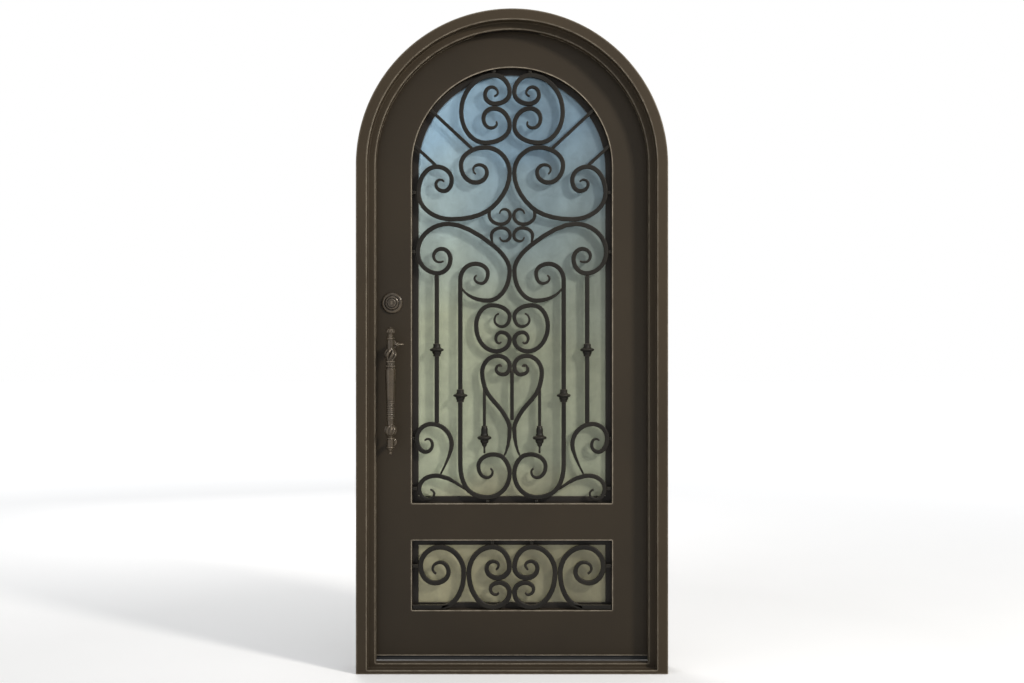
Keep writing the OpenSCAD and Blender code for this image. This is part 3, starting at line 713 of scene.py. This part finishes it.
def build_materials():
    build_groups()
    look = finishes()
    MATERIALS["frame_paint"] = painted_steel("Frame paint", tuple(look.frame_paint), 0.95, 0.5)
    MATERIALS["leaf_paint"] = painted_steel("Leaf paint", tuple(look.leaf_paint), 0.8)
    MATERIALS["rim_paint"] = painted_steel("Rim paint", (0.020, 0.017, 0.014), 0.35, 0.45, 0.0016)
    MATERIALS["wrought_iron"] = forged_iron("Forged iron", tuple(look.iron))
    MATERIALS["aged_bronze"] = aged_bronze("Aged bronze", tuple(look.bronze))
    MATERIALS["lock_brass"] = brushed_brass("Lock brass")
    MATERIALS["hinge_steel"] = painted_steel("Hinge paint", (0.045, 0.036, 0.028), 0.8, 0.38)
    MATERIALS["rubber"] = rubber("Black rubber")
    MATERIALS["frosted_glass"] = frosted_glass("Frosted glass")


# ---- frame pieces ----

def build_frame():
    """The welded frame: outer band, stop, rebate and sill as one folded section."""
    body = arched_slab("frame_body", FRAME_R, 0, FRONT_Y, BACK_Y)
    carve(
        body,
        arched_slab("band", BAND_R, SILL_FRONT_H, FRONT_Y - CUT_PAST, STOP_FRONT_Y),
        arched_slab("stop", STOP_R, SILL_STOP_Z, STOP_FRONT_Y - CUT_PAST, STOP_BACK_Y + CUT_PAST),
        arched_slab("rebate", REBATE_R, SILL_BACK_H, STOP_BACK_Y, BACK_Y + CUT_PAST))
    tidy_mesh(body)
    soften(body, sizes().sheet_edge, 4)
    groove = arched_slab("groove", SEAL_OUT_R, SILL_STOP_Z, SEAL_FRONT_Y, STOP_BACK_Y + MM / 2)
    carve(body, groove)
    holes = []
    for side in (-1, 1):
        for level in ANCHOR_LEVELS:
            holes.append(rod(
                "anchor hole", (side * (REBATE_R - CUT_PAST), ANCHOR_Y, level), (side, 0, 0),
                ANCHOR_R, FRAME_R - REBATE_R + 2 * CUT_PAST))
    carve(body, *holes)
    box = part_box("strike_plates")
    for middle_z in lock_levels():
        carve(body, block(
            "strike pocket",
            (box[0].x - STRIKE_POCKET, box[0].y, middle_z - FACEPLATE_HALF),
            (box[1].x + CUT_PAST, box[1].y, middle_z + FACEPLATE_HALF)))
    shade(body)
    return finish_piece(
        body, "frame", "frame_paint", "sill", "jamb_lock_side",
        "jamb_hinge_side", "frame_arch", "stop_lock_side", "stop_hinge_side", "stop_arch")


def lock_levels():
    top = high("lock_faceplates").z
    foot = low("lock_faceplates").z
    return (foot + FACEPLATE_HALF, top - FACEPLATE_HALF)


def build_seal():
    """A bulb seal in the stop's groove, up one jamb, round the arch and down the other."""
    seal = arched_slab("bulb_seal", SEAL_OUT_R, SILL_STOP_Z, SEAL_FRONT_Y, STOP_BACK_Y)
    carve(seal, arched_slab(
        "inside", STOP_R + MM, SILL_STOP_Z - CUT_PAST, SEAL_FRONT_Y - CUT_PAST,
        STOP_BACK_Y + CUT_PAST))
    tidy_mesh(seal)
    soften(seal, 1.2 * MM, 3)
    return finish_piece(seal, "frame", "rubber", "weather_seal")


def screw_head(name, centre, along, radius=3.6 * MM):
    """A domed screw head with a cross cut in it."""
    centre, along = Vector(centre), Vector(along)
    side = Vector((0, 0, 1))
    head = turned(name, [
        (0, 1.6 * MM), (radius * 0.55, 1.35 * MM), (radius * 0.9, 0.7 * MM), (radius, 0),
        (0, 0),
    ], centre, along, side, 24)
    across = along.cross(side)
    for direction, other in ((side, across), (across, side)):
        reach = direction * radius * 0.6 + other * 0.45 * MM
        corner = centre + along * 0.9 * MM - reach
        opposite = centre + along * 3 * MM + reach
        carve(head, block("slot", corner, opposite))
    return head


def lock_plates(node_name, name, outward, body, hole):
    """The two plates in the leaf's edge, with bolt faces, or in the jamb, with round holes."""
    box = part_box(node_name)
    face_x = box[1].x if outward > 0 else box[0].x
    middle_y = middle(box, "y")
    parts = []
    for middle_z in lock_levels():
        plate = block(
            "plate", (box[0].x, box[0].y, middle_z - FACEPLATE_HALF),
            (box[1].x, box[1].y, middle_z + FACEPLATE_HALF))
        if hole:
            carve(plate, rod(
                "keep", (box[0].x - CUT_PAST, middle_y, middle_z), (1, 0, 0), 12.5 * MM,
                box[1].x - box[0].x + 2 * CUT_PAST))
        else:
            bolt = rod(
                "bolt face", (face_x - outward * MM, middle_y, middle_z), (outward, 0, 0),
                11 * MM, 0.95 * MM, 0.2 * MM)
            carve(plate, rod(
                "ring", (face_x - outward * 0.6 * MM, middle_y, middle_z), (outward, 0, 0),
                12 * MM, 2 * MM, 0.1 * MM))
            parts.append(bolt)
        tidy_mesh(plate)
        soften(plate, 0.5 * MM, 2)
        parts.append(plate)
    piece = shade(join(name, parts))
    return finish_piece(piece, body, "lock_brass", node_name)


# ---- leaf pieces ----

def build_leaf():
    """The leaf's steel skin: stiles, rails and arch welded and ground into one smooth face."""
    leaf = arched_slab("leaf_skin", LEAF_R, LEAF_FOOT_Z, LEAF_FRONT_Y, BACK_Y)
    carve(
        leaf,
        arched_slab("light", OPEN_R, MAIN_Z0, LEAF_FRONT_Y - CUT_PAST, BACK_Y + CUT_PAST),
        block("panel", (-OPEN_R, LEAF_FRONT_Y - CUT_PAST, PANEL_Z0),
              (OPEN_R, BACK_Y + CUT_PAST, PANEL_Z1)))
    tidy_mesh(leaf)
    soften(leaf, sizes().sheet_edge, 4)
    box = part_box("lock_faceplates")
    for middle_z in lock_levels():
        carve(leaf, block(
            "pocket", (box[0].x - CUT_PAST, box[0].y, middle_z - FACEPLATE_HALF),
            (box[1].x, box[1].y, middle_z + FACEPLATE_HALF)))
    shade(leaf)
    return finish_piece(
        leaf, "leaf", "leaf_paint", "lock_stile", "hinge_stile",
        "bottom_rail", "middle_rail", "arched_rail")


def build_sweep():
    """The rubber sweep under the leaf: a carrier strip with three soft fins."""
    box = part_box("door_sweep")
    depth = box[1].y - box[0].y
    parts = [block("carrier", (box[0].x, box[0].y, box[1].z - 4 * MM), box[1])]
    for i in range(3):
        front = box[0].y + depth * (0.06 + 0.33 * i)
        parts.append(block(
            "fin", (box[0].x, front, box[0].z + i * MM),
            (box[1].x, front + depth * 0.2, box[1].z - 3.9 * MM)))
    for part in parts:
        soften(part, 0.4 * MM, 2)
    return finish_piece(
        join("sweep_strip", parts), "leaf", "rubber", "door_sweep")


def ring(name, outer, inner, front_y, back_y, arched):
    """A closed ring that follows an opening: outer and inner are distances from its edge."""
    def slab(label, inset, y0, y1):
        if arched:
            return arched_slab(label, OPEN_R - inset, MAIN_Z0 + inset, y0, y1)
        return block(label, (-OPEN_R + inset, y0, PANEL_Z0 + inset),
                     (OPEN_R - inset, y1, PANEL_Z1 - inset))
    made = slab(name, outer, front_y, back_y)
    return carve(made, slab("hole", inner, front_y - CUT_PAST, back_y + CUT_PAST))


def build_rim(node_name, name, arched):
    """The glazing rim: a lip in front of the glass that turns back along its edge."""
    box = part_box(node_name)
    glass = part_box("upper_glass" if arched else "lower_glass")
    side = OPEN_R - glass[1].x
    rim = ring(name, 0, GLAZING_LIP, box[0].y, glass[0].y, arched)
    tidy_mesh(rim)
    soften(rim, MM, 3)
    back = ring("back", 0, side, glass[0].y, box[1].y, arched)
    piece = shade(join(name, [rim, back]))
    return finish_piece(piece, "leaf", "rim_paint", node_name)


def build_sash(node_name, name, arched):
    """The indoor sash that presses the glass home: a plate lapped over the leaf, and a lip."""
    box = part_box(node_name)
    lap = box[1].x - OPEN_R
    plate = ring(name, -lap, GLAZING_LIP, BACK_Y, box[1].y, arched)
    tidy_mesh(plate)
    soften(plate, 2 * MM, 3)
    inner = ring("inner", 0, GLAZING_LIP, box[0].y, BACK_Y, arched)
    piece = shade(join(name, [plate, inner]))
    return finish_piece(piece, "leaf", "leaf_paint", node_name)


def dress_glass():
    for name in ("upper_glass", "lower_glass"):
        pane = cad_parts[name]
        pane.data.materials.clear()
        pane.data.materials.append(MATERIALS["frosted_glass"])


# ---- grille pieces ----

BAR_NODES = (
    "crown_scrolls", "fan_scrolls", "shoulder_scrolls", "long_scrolls", "mid_scrolls",
    "heart_scrolls", "heart_stem", "foot_scrolls", "corner_scrolls", "outer_pickets",
    "panel_outer_scrolls", "panel_inner_scrolls",
)
FINE_NODES = ("centre_curls_upper", "centre_curls_lower", "spokes", "grille_pegs", "panel_pegs")


def forged(node_name, edge):
    """One pair of forged bars, with their edges worked round."""
    piece = copy_of(node_name, node_name + "_forged")
    soften(piece, edge, 3, 45, clamp=False)
    return finish_piece(piece, "leaf", "wrought_iron", node_name)


def collar_profile(radius):
    """A picket collar: neck, swelling, wide disc and undercut, as distances in metres."""
    neck = 0.46 * radius
    sleeve = [(neck, 20 * MM), (neck * 1.12, 19 * MM), (neck * 1.12, 10 * MM)]
    disc = curve_through([
        (neck * 1.3, 8 * MM), (neck * 1.34, 6.4 * MM), (radius * 0.86, 5 * MM),
        (radius, 2.6 * MM), (radius, -0.4 * MM), (radius * 0.88, -3 * MM),
        (radius * 0.68, -4.6 * MM), (radius * 0.64, -9 * MM), (neck * 1.2, -13 * MM),
    ])
    foot = [(neck * 1.12, -14 * MM), (neck * 1.12, -19 * MM), (neck, -20 * MM)]
    return [(0, 20 * MM)] + sleeve + disc + foot + [(0, -20 * MM)]


def build_collars():
    """The four turned collars on the upright bars."""
    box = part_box("picket_collars")
    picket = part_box("outer_pickets")
    middle_y = middle(box, "y")
    radius = middle_y - box[0].y
    outer_x = box[1].x - radius
    inner_x = high("long_scrolls").x - (picket[1].y - picket[0].y) / 2
    parts = []
    for x, z in ((outer_x, box[1].z - COLLAR_HALF), (inner_x, box[0].z + COLLAR_HALF)):
        for side in (-1, 1):
            parts.append(turned("collar", collar_profile(radius), (side * x, middle_y, z)))
    piece = shade(join("bar_collars", parts), 50)
    return finish_piece(
        piece, "leaf", "wrought_iron", "picket_collars")


def build_pendants():
    """The two hanging bars with their turned drops."""
    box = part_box("pendants")
    radius = (box[1].y - box[0].y) / 2
    middle_y = middle(box, "y")
    x = box[1].x - radius
    knop_z = box[0].z + KNOP_RISE
    drop = curve_through([
        (7.8, 37), (8.6, 34), (10.2, 30), (10.6, 24), (10.6, 15), (12.4, 11), (13, 8.5),
        (20, 5.5), (22, 2.8), (22, 0), (19.5, -3), (13.8, -5), (13, -10), (11.2, -14),
        (8.6, -16.5), (8, -21), (6, -25), (3.6, -28), (3.2, -40), (3.6, -44), (2.4, -47.5),
    ], 4)
    profile = scaled([(0, 37)] + [(min(r, radius / MM), t) for r, t in drop] + [(0, -48)])
    parts = []
    for side in (-1, 1):
        parts.append(turned("drop", profile, (side * x, middle_y, knop_z)))
    bars = copy_of("pendants", "bars")
    edit(bars)
    pick_all()
    bpy.ops.mesh.bisect(
        plane_co=(0, 0, knop_z + 36.5 * MM), plane_no=(0, 0, 1), clear_inner=True, use_fill=True)
    close_edit(bars)
    soften(tidy_mesh(bars), 2 * MM, 3, 45, clamp=False)
    piece = shade(join("hanging_drops", parts + [bars]), 50)
    return finish_piece(piece, "leaf", "wrought_iron", "pendants")


# ---- locks and pulls ----

def build_rose():
    """The deadbolt's rose: three stepped rings round a domed cylinder with a keyway."""
    r = ROSE_R / MM
    profile = [(0, 0), (r - 0.4, 0), (r, 0.5), (r, 2.6)]
    profile += curve_through([(r - 0.4, 3.6), (r - 2.4, 6.6), (r - 6, 8), (r - 9, 7.6)])
    profile += [(r - 9.6, 6.6), (r - 10.6, 6.6), (r - 10.8, 9)]
    profile += curve_through([(r - 11, 10), (r - 13, 12.6), (r - 16, 13.8), (r - 18, 13.4)])
    profile += [(r - 18.8, 12.4), (r - 19.8, 12.4), (r - 20, 15.5)]
    profile += curve_through([(r - 20.2, 16.6), (r - 21.6, 18), (6, 18.5), (0, 18.5)])
    rose = turned(
        "deadbolt_rings", scaled(profile), (LOCK_X, LEAF_FRONT_Y, DEADBOLT_Z), (0, -1, 0),
        (1, 0, 0), 96)
    front = low("deadbolt_rose").y
    carve(rose, block(
        "keyway", (LOCK_X - 0.8 * MM, front - MM, DEADBOLT_Z - 4.5 * MM),
        (LOCK_X + 0.8 * MM, front + 4 * MM, DEADBOLT_Z + 4.5 * MM)))
    shade(rose, 35)
    return finish_piece(
        rose, "leaf", "aged_bronze", "deadbolt_rose")


def build_turn():
    """The indoor thumb turn on a plain stepped rose."""
    r = ROSE_R / MM
    profile = [(0, 0), (r - 0.4, 0), (r, 0.5), (r, 2.6)]
    profile += curve_through([(r - 0.4, 3.6), (r - 2.4, 6.6), (r - 8, 8), (11, 8.6), (9, 10)])
    profile += [(8, 14), (0, 14)]
    base = turned(
        "thumb_turn", scaled(profile), (LOCK_X, BACK_Y, DEADBOLT_Z), (0, 1, 0), (1, 0, 0))
    tip_y = high("deadbolt_turn").y
    wing = block(
        "wing", (LOCK_X - 4 * MM, BACK_Y + 12 * MM, DEADBOLT_Z - 20 * MM),
        (LOCK_X + 4 * MM, tip_y, DEADBOLT_Z + 20 * MM))
    edit(wing, "FACE")
    pick(wing, "verts", lambda v: v.co.y < BACK_Y + 15 * MM)
    bpy.ops.transform.resize(value=(0.8, 1, 0.3), center_override=(LOCK_X, BACK_Y, DEADBOLT_Z))
    close_edit(wing)
    soften(wing, 2.5 * MM, 4)
    piece = shade(join("thumb_turn", [base, wing]))
    return finish_piece(
        piece, "leaf", "aged_bronze", "deadbolt_turn")


def pull_profile():
    """The pull from its acorn tip down, as (radius, distance below the tip) in millimetres."""
    acorn = curve_through([
        (0.6, 0), (3.4, 1.4), (4.6, 3.4), (8.5, 5.6), (12, 9), (14, 14), (13.4, 18), (10, 22),
        (8.6, 26), (8.8, 30), (10.5, 33),
    ])
    cap = bead(33.5, 41.5, 11, 13.5) + [(10.6, 43)]
    seat = [(10.8, 44), (11, 46), (11, 66), (11.4, 68.5)]
    leaves = curve_through([
        (12, 69), (15.4, 73), (18.6, 79), (19.6, 86), (18, 93), (14.6, 99), (12.4, 104),
    ], 7)
    rings = bead(105, 112, 12, 15) + bead(113, 118, 12, 13.5) + bead(119, 127, 12.2, 15.3)
    shoulder = curve_through([(13, 128.5), (13.2, 130.5), (15.4, 132.5), (16, 137), (16, 145)])
    grip = curve_through([(15.9, 152), (15.2, 175), (14.2, 200), (13.2, 222), (12.6, 229)])
    ribs = []
    for i in range(9):
        start = 230 + i * 6.6
        ribs += bead(start, start + 5.6, 11.6, 13.6 - 0.05 * i, 5)
    bulb = curve_through([
        (11.4, 291), (11.2, 299), (12, 304), (16.4, 309), (19.4, 316), (20, 322), (18.6, 329),
        (14, 335), (10, 339), (9.4, 342),
    ])
    base = bead(343, 348.5, 10, 13) + [(10.9, 349.5), (11, 351)]
    base += [(11, 371)] + bead(371.5, 377, 10.4, 12.4)
    tip = curve_through([
        (9.5, 378), (8.6, 381), (5.6, 385.5), (3.6, 388), (4.6, 391), (4.4, 395), (0.8, 398),
    ])
    upper = [(0, 0)] + acorn + cap + seat + leaves + rings
    return upper + shoulder + grip + ribs + bulb + base + tip + [(0, 398)]


def build_pull(node_name, name, axis_y):
    """The turned pull, with leaves chased into its swelling and ribs under the grip."""
    profile = [(r * MM, -t * MM) for r, t in pull_profile()]
    pull = turned(name, profile, (LOCK_X, axis_y, PULL_TOP_Z), steps=96)
    chase(pull, axis_y)
    shade(pull, 50)
    return finish_piece(pull, "leaf", "aged_bronze", node_name)


def chase(pull, axis_y):
    """Presses the hollows between leaves, and a twist of flutes, into the turned shape."""
    bands = (
        (69, 104, 6, 0.42, 9.0), (6, 22, 7, 0.22, 5.0), (105, 112, 18, 0.1, 0.0),
        (119, 127, 14, 0.14, 0.0), (304, 336, 8, 0.2, 5.0),
        (351, 371, 7, 0.16, 4.0))
    for vertex in pull.data.vertices:
        below = (PULL_TOP_Z - vertex.co.z) / MM
        across = Vector((vertex.co.x - LOCK_X, vertex.co.y - axis_y))
        angle = math.atan2(across.y, across.x)
        for start, end, leaves, depth, twist in bands:
            if start < below < end:
                along = (below - start) / (end - start)
                fade = math.sin(math.pi * along) ** 0.6
                wave = abs(math.sin(0.5 * leaves * angle + twist * along * 0.35))
                press = 1 - depth * fade * (1 - wave) ** 1.6
                vertex.co.x = LOCK_X + across.x * press
                vertex.co.y = axis_y + across.y * press


def build_posts(node_name, name, face_y, side, with_pin):
    """The pull's two posts on their stepped plates, and the thumb lever's pivot outdoors."""
    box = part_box(node_name)
    reach = abs((PULL_Y if side < 0 else BACK_PULL_Y) - face_y) - 10.5 * MM
    top_z = box[1].z - PLATE_R
    foot_z = box[0].z + PLATE_R
    profile = scaled(
        [(0, 0), (14.7, 0), (15, 0.4), (15, 2.2)]
        + curve_through([(14.6, 3.2), (12.6, 4.6), (9.4, 5), (8.2, 6.5), (8, 9)])
        + [(8, reach / MM * 0.45)]
        + bead(reach / MM * 0.47, reach / MM * 0.6, 7.4, 8)
        + [(8, reach / MM * 0.62), (8, reach / MM), (0, reach / MM)])
    parts = [
        turned("post", profile, (LOCK_X, face_y, z), (0, side, 0), (1, 0, 0))
        for z in (top_z, foot_z)
    ]
    if with_pin:
        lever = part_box("thumb_lever")
        hub_y = lever[1].y - 7 * MM
        parts.append(rod(
            "pin", (LOCK_X + 6.5 * MM, hub_y, top_z), (1, 0, 0), 4 * MM,
            box[1].x - LOCK_X - 6.5 * MM))
    piece = shade(join(name, parts), 45)
    return finish_piece(
        piece, "leaf", "aged_bronze", node_name)


def build_thumb():
    """The thumb lever: a hub on its pin, a bent arm and a dished oval pad."""
    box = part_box("thumb_lever")
    hub_r, hub_w, bore = 7 * MM, 8 * MM, 4.05 * MM
    middle_z = middle(box, "z")
    hub_y = box[1].y - hub_r
    dish_r = 11 * MM
    dish_x, dish_y = box[1].x - dish_r, box[0].y + dish_r
    hub = turned("hub", [
        (bore, 0), (hub_r - 0.6 * MM, 0), (hub_r, 0.6 * MM), (hub_r, hub_w - 0.6 * MM),
        (hub_r - 0.6 * MM, hub_w), (bore, hub_w), (bore, 0),
    ], (box[0].x, hub_y, middle_z), (1, 0, 0), (0, 1, 0), 48)
    arm_x = box[0].x + hub_w
    arm = block(
        "arm", (arm_x - 6 * MM, dish_y - 3 * MM, middle_z - 2 * MM),
        (arm_x, hub_y - bore - 1.5 * MM, middle_z + 2 * MM))
    reach = block(
        "reach", (arm_x - 6 * MM, dish_y - 3 * MM, middle_z - 2 * MM),
        (dish_x - 4 * MM, dish_y + 3 * MM, middle_z + 2 * MM))
    combine(arm, reach, "UNION")
    soften(tidy_mesh(arm), 1.3 * MM, 3)
    pad = turned("pad", scaled(
        [(0, 0.3)] + curve_through([(2, 0.35), (6, 0.9), (9, 2.0), (10.4, 2.5), (11, 1.8),
                                    (10.9, 0.4), (9.4, -1.0), (5, -2.2), (2, -2.5)])
        + [(0, -2.5)]), (dish_x, dish_y, middle_z), steps=48)
    piece = shade(join("thumb_spoon", [hub, arm, pad]))
    return finish_piece(
        piece, "thumb", "aged_bronze", "thumb_lever")


# ---- hinges ----

def hinge_levels():
    """The foot of each of the three hinges, and the rise from one barrel to the next."""
    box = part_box("hinge_pins")
    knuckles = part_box("hinge_leaf_knuckles")
    step = knuckles[0].z - box[0].z
    last = knuckles[1].z - step - BARREL_H
    return [box[0].z, (box[0].z + last) / 2, last], step


def build_knuckles(node_name, name, side, levels, bore, body):
    """Hinge barrels welded to tabs, each barrel rounded at its rims."""
    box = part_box(node_name)
    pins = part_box("hinge_pins")
    axis_x = middle(pins, "x")
    axis_y = middle(pins, "y")
    radius, height, tab_t = BARREL_R, BARREL_H, TAB_T
    feet, step = hinge_levels()
    tab_end = box[1].x if side > 0 else box[0].x
    parts = []
    for foot in feet:
        for level in levels:
            z = foot + level * step
            rim = 0.8 * MM
            parts.append(turned("barrel", [
                (bore, 0), (radius - rim, 0), (radius, rim), (radius, height - rim),
                (radius - rim, height), (bore, height), (bore, 0),
            ], (axis_x, axis_y, z)))
            inner = axis_x + side * radius * 0.25
            tab = block("tab", (inner, BACK_Y, z), (tab_end, BACK_Y + tab_t, z + height))
            soften(tab, 1.2 * MM, 3)
            parts.append(tab)
            for offset in (0.3, 0.7):
                parts.append(screw_head(
                    "screw", (tab_end - side * 9 * MM, BACK_Y + tab_t, z + height * offset),
                    (0, 1, 0)))
    piece = shade(join(name, parts))
    return finish_piece(piece, body, "hinge_steel", node_name)


def build_pins():
    """The hinge pins, each with a small button head."""
    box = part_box("hinge_pins")
    axis = (middle(box, "x"), middle(box, "y"))
    feet = hinge_levels()[0]
    top = PIN_LENGTH / MM
    shank = [(0, 0.2), (4.4, 0.2), (4.95, 0.8), (4.95, top), (7.6, top)]
    button = curve_through([(8, top + 0.6), (7.4, top + 3), (5, top + 4.6), (2, top + 5)])
    profile = scaled(shank + button + [(0, top + 5)])
    parts = [turned("pin", profile, (*axis, foot)) for foot in feet]
    piece = shade(join("button_pins", parts), 45)
    return finish_piece(
        piece, "frame", "hinge_steel", "hinge_pins")


# ---- stage ----

def seen_ray(tree):
    """One for the rays that show the backdrop: straight, mirrored and through glass."""
    rays = tree.nodes.new("ShaderNodeLightPath").outputs
    either = maths(tree, "MAXIMUM", rays["Is Camera Ray"], rays["Is Glossy Ray"])
    return maths(tree, "MAXIMUM", either, rays["Is Transmission Ray"])


def build_stage():
    """A pale floor, a white world behind it, four lamps and the camera straight in front."""
    floor_material, tree, shader = new_material("Pale floor")
    place = object_place(tree)
    grain = noise(tree, place, 3.0, 4.0)
    pale = mix_colour(tree, grain, (0.86, 0.86, 0.86), (0.9, 0.9, 0.9))
    tree.links.new(pale, shader.inputs["Base Color"])
    shader.inputs["Roughness"].default_value = 0.9
    glow = tree.nodes.new("ShaderNodeEmission")
    reach = node(tree, "ShaderNodeVectorMath", {0: place}, operation="LENGTH")
    faded = remap(tree, reach.outputs["Value"], 1.6, 7.0, 0.13, 0.72)
    seen_glow = maths(tree, "MULTIPLY", seen_ray(tree), faded)
    tree.links.new(seen_glow, glow.inputs["Strength"])
    both = tree.nodes.new("ShaderNodeAddShader")
    tree.links.new(shader.outputs[0], both.inputs[0])
    tree.links.new(glow.outputs[0], both.inputs[1])
    tree.links.new(both.outputs[0], tree.nodes["Material Output"].inputs["Surface"])
    deselect()
    bpy.ops.mesh.primitive_plane_add(size=60, location=(0, 0, 0))
    floor = settle("floor")
    floor.data.materials.append(floor_material)
    world = bpy.data.worlds.new("Studio")
    bpy.context.scene.world = world
    world.use_nodes = True
    nodes, links = world.node_tree.nodes, world.node_tree.links
    nodes.clear()
    soft = nodes.new("ShaderNodeBackground")
    soft.inputs["Color"].default_value = (0.93, 0.96, 1.0, 1)
    soft.inputs["Strength"].default_value = 0.32
    seen = nodes.new("ShaderNodeBackground")
    seen.inputs["Color"].default_value = (1, 1, 1, 1)
    seen.inputs["Strength"].default_value = 1.0
    mix = nodes.new("ShaderNodeMixShader")
    end = nodes.new("ShaderNodeOutputWorld")
    links.new(seen_ray(world.node_tree), mix.inputs["Fac"])
    links.new(soft.outputs[0], mix.inputs[1])
    links.new(seen.outputs[0], mix.inputs[2])
    links.new(mix.outputs[0], end.inputs["Surface"])
    lamp("key", (3.3, -3.2, 3.5), (0, 0, 1.0), 0.7, 215, (1.0, 0.96, 0.9))
    lamp("fill", (-3.2, -3.4, 1.6), (0, 0, 1.0), 2.6, 16, (0.92, 0.96, 1.0))
    lamp("top", (0, -1.2, 4.4), (0, 0, 1.4), 2.4, 22, (1, 1, 1))
    lamp("behind", (-1.5, 3.8, 2.8), (0, 0, 1.0), 2.6, 75, (1, 0.98, 0.95))
    camera_data = bpy.data.cameras.new("camera")
    camera_data.sensor_width = 36
    camera_data.lens = LENS
    camera = bpy.data.objects.new("camera", camera_data)
    camera.location = (0, FRONT_Y - EYE_DISTANCE, EYE_LEVEL)
    camera.rotation_euler = (math.pi / 2, 0, 0)
    bpy.context.scene.collection.objects.link(camera)
    bpy.context.scene.camera = camera
    bpy.context.scene.view_settings.view_transform = "Standard"


def lamp(name, place, aim, size, power, colour):
    data = bpy.data.lights.new(name, "AREA")
    data.shape = "DISK"
    data.size = size
    data.energy = power
    data.color = colour
    made = bpy.data.objects.new(name, data)
    made.location = place
    made.rotation_euler = (Vector(aim) - Vector(place)).to_track_quat("-Z", "Y").to_euler()
    bpy.context.scene.collection.objects.link(made)


# ---- operators ----

class DOOR_OT_stage(bpy.types.Operator):
    """Set the floor, the lamps and the camera"""
    bl_idname = "door.stage"
    bl_label = "Stage"

    def execute(self, context):
        build_stage()
        return {"FINISHED"}


class DOOR_OT_materials(bpy.types.Operator):
    """Mix the door's finishes"""
    bl_idname = "door.materials"
    bl_label = "Finishes"

    def execute(self, context):
        build_materials()
        return {"FINISHED"}


class DOOR_OT_frame(bpy.types.Operator):
    """Model the fixed frame, its seal and its strike plates"""
    bl_idname = "door.frame"
    bl_label = "Frame"

    def execute(self, context):
        build_frame()
        build_seal()
        lock_plates("strike_plates", "strikes", 1, "frame", True)
        return {"FINISHED"}


class DOOR_OT_leaf(bpy.types.Operator):
    """Model the leaf's skin, its sweep and its edge plates"""
    bl_idname = "door.leaf"
    bl_label = "Leaf"

    def execute(self, context):
        build_leaf()
        build_sweep()
        lock_plates("lock_faceplates", "edge_plates", -1, "leaf", False)
        return {"FINISHED"}


class DOOR_OT_glass(bpy.types.Operator):
    """Model the rims and sashes and dress the glass"""
    bl_idname = "door.glass"
    bl_label = "Glass"

    def execute(self, context):
        build_rim("upper_glass_rim", "tall_rim", True)
        build_rim("lower_glass_rim", "low_rim", False)
        build_sash("upper_sash", "tall_sash", True)
        build_sash("lower_sash", "low_sash", False)
        dress_glass()
        return {"FINISHED"}


class DOOR_OT_grille(bpy.types.Operator):
    """Forge the grille's scrolls, pickets, collars and pendants"""
    bl_idname = "door.grille"
    bl_label = "Grille"

    def execute(self, context):
        for node_name in BAR_NODES:
            forged(node_name, sizes().bar_edge)
        for node_name in FINE_NODES:
            forged(node_name, sizes().bar_edge * 0.7)
        build_collars()
        build_pendants()
        return {"FINISHED"}


class DOOR_OT_locks(bpy.types.Operator):
    """Turn the pulls and roses and make the thumb lever"""
    bl_idname = "door.locks"
    bl_label = "Locks and pulls"

    def execute(self, context):
        build_rose()
        build_turn()
        build_pull("front_pull", "outdoor_pull", PULL_Y)
        build_pull("back_pull", "indoor_pull", BACK_PULL_Y)
        build_posts("front_pull_posts", "outdoor_posts", LEAF_FRONT_Y, -1, True)
        build_posts("back_pull_posts", "indoor_posts", BACK_Y, 1, False)
        build_thumb()
        return {"FINISHED"}


class DOOR_OT_hinges(bpy.types.Operator):
    """Model the three barrel hinges and their pins"""
    bl_idname = "door.hinges"
    bl_label = "Hinges"

    def execute(self, context):
        build_knuckles(
            "hinge_frame_knuckles", "frame_barrels", 1, (0, 2), 4.96 * MM, "frame")
        build_knuckles(
            "hinge_leaf_knuckles", "leaf_barrels", -1, (1,), 5.05 * MM, "leaf")
        build_pins()
        return {"FINISHED"}


class DOOR_PT_panel(bpy.types.Panel):
    """Lists the door's finishes, sizes and pieces"""
    bl_label = "Iron Door"
    bl_idname = "DOOR_PT_panel"
    bl_space_type = "VIEW_3D"
    bl_region_type = "UI"
    bl_category = "Iron Door"

    def draw(self, context):
        for group in (context.scene.door_finishes, context.scene.door_sizes):
            for name in group.__annotations__:
                self.layout.prop(group, name)
        for operator in OPERATORS:
            self.layout.operator(operator.bl_idname)


OPERATORS = (
    DOOR_OT_stage, DOOR_OT_materials, DOOR_OT_frame, DOOR_OT_leaf, DOOR_OT_glass,
    DOOR_OT_grille, DOOR_OT_locks, DOOR_OT_hinges,
)
CLASSES = (DoorFinishes, DoorSizes) + OPERATORS + (DOOR_PT_panel,)


def register():
    for cls in CLASSES:
        bpy.utils.register_class(cls)
    bpy.types.Scene.door_finishes = PointerProperty(type=DoorFinishes)
    bpy.types.Scene.door_sizes = PointerProperty(type=DoorSizes)


def unregister():
    del bpy.types.Scene.door_finishes
    del bpy.types.Scene.door_sizes
    for cls in reversed(CLASSES):
        bpy.utils.unregister_class(cls)


def main():
    register()
    bpy.ops.door.stage()
    bpy.ops.door.materials()
    bpy.ops.door.frame()
    bpy.ops.door.leaf()
    bpy.ops.door.glass()
    bpy.ops.door.grille()
    bpy.ops.door.locks()
    bpy.ops.door.hinges()


if __name__ == "__main__":
    main()
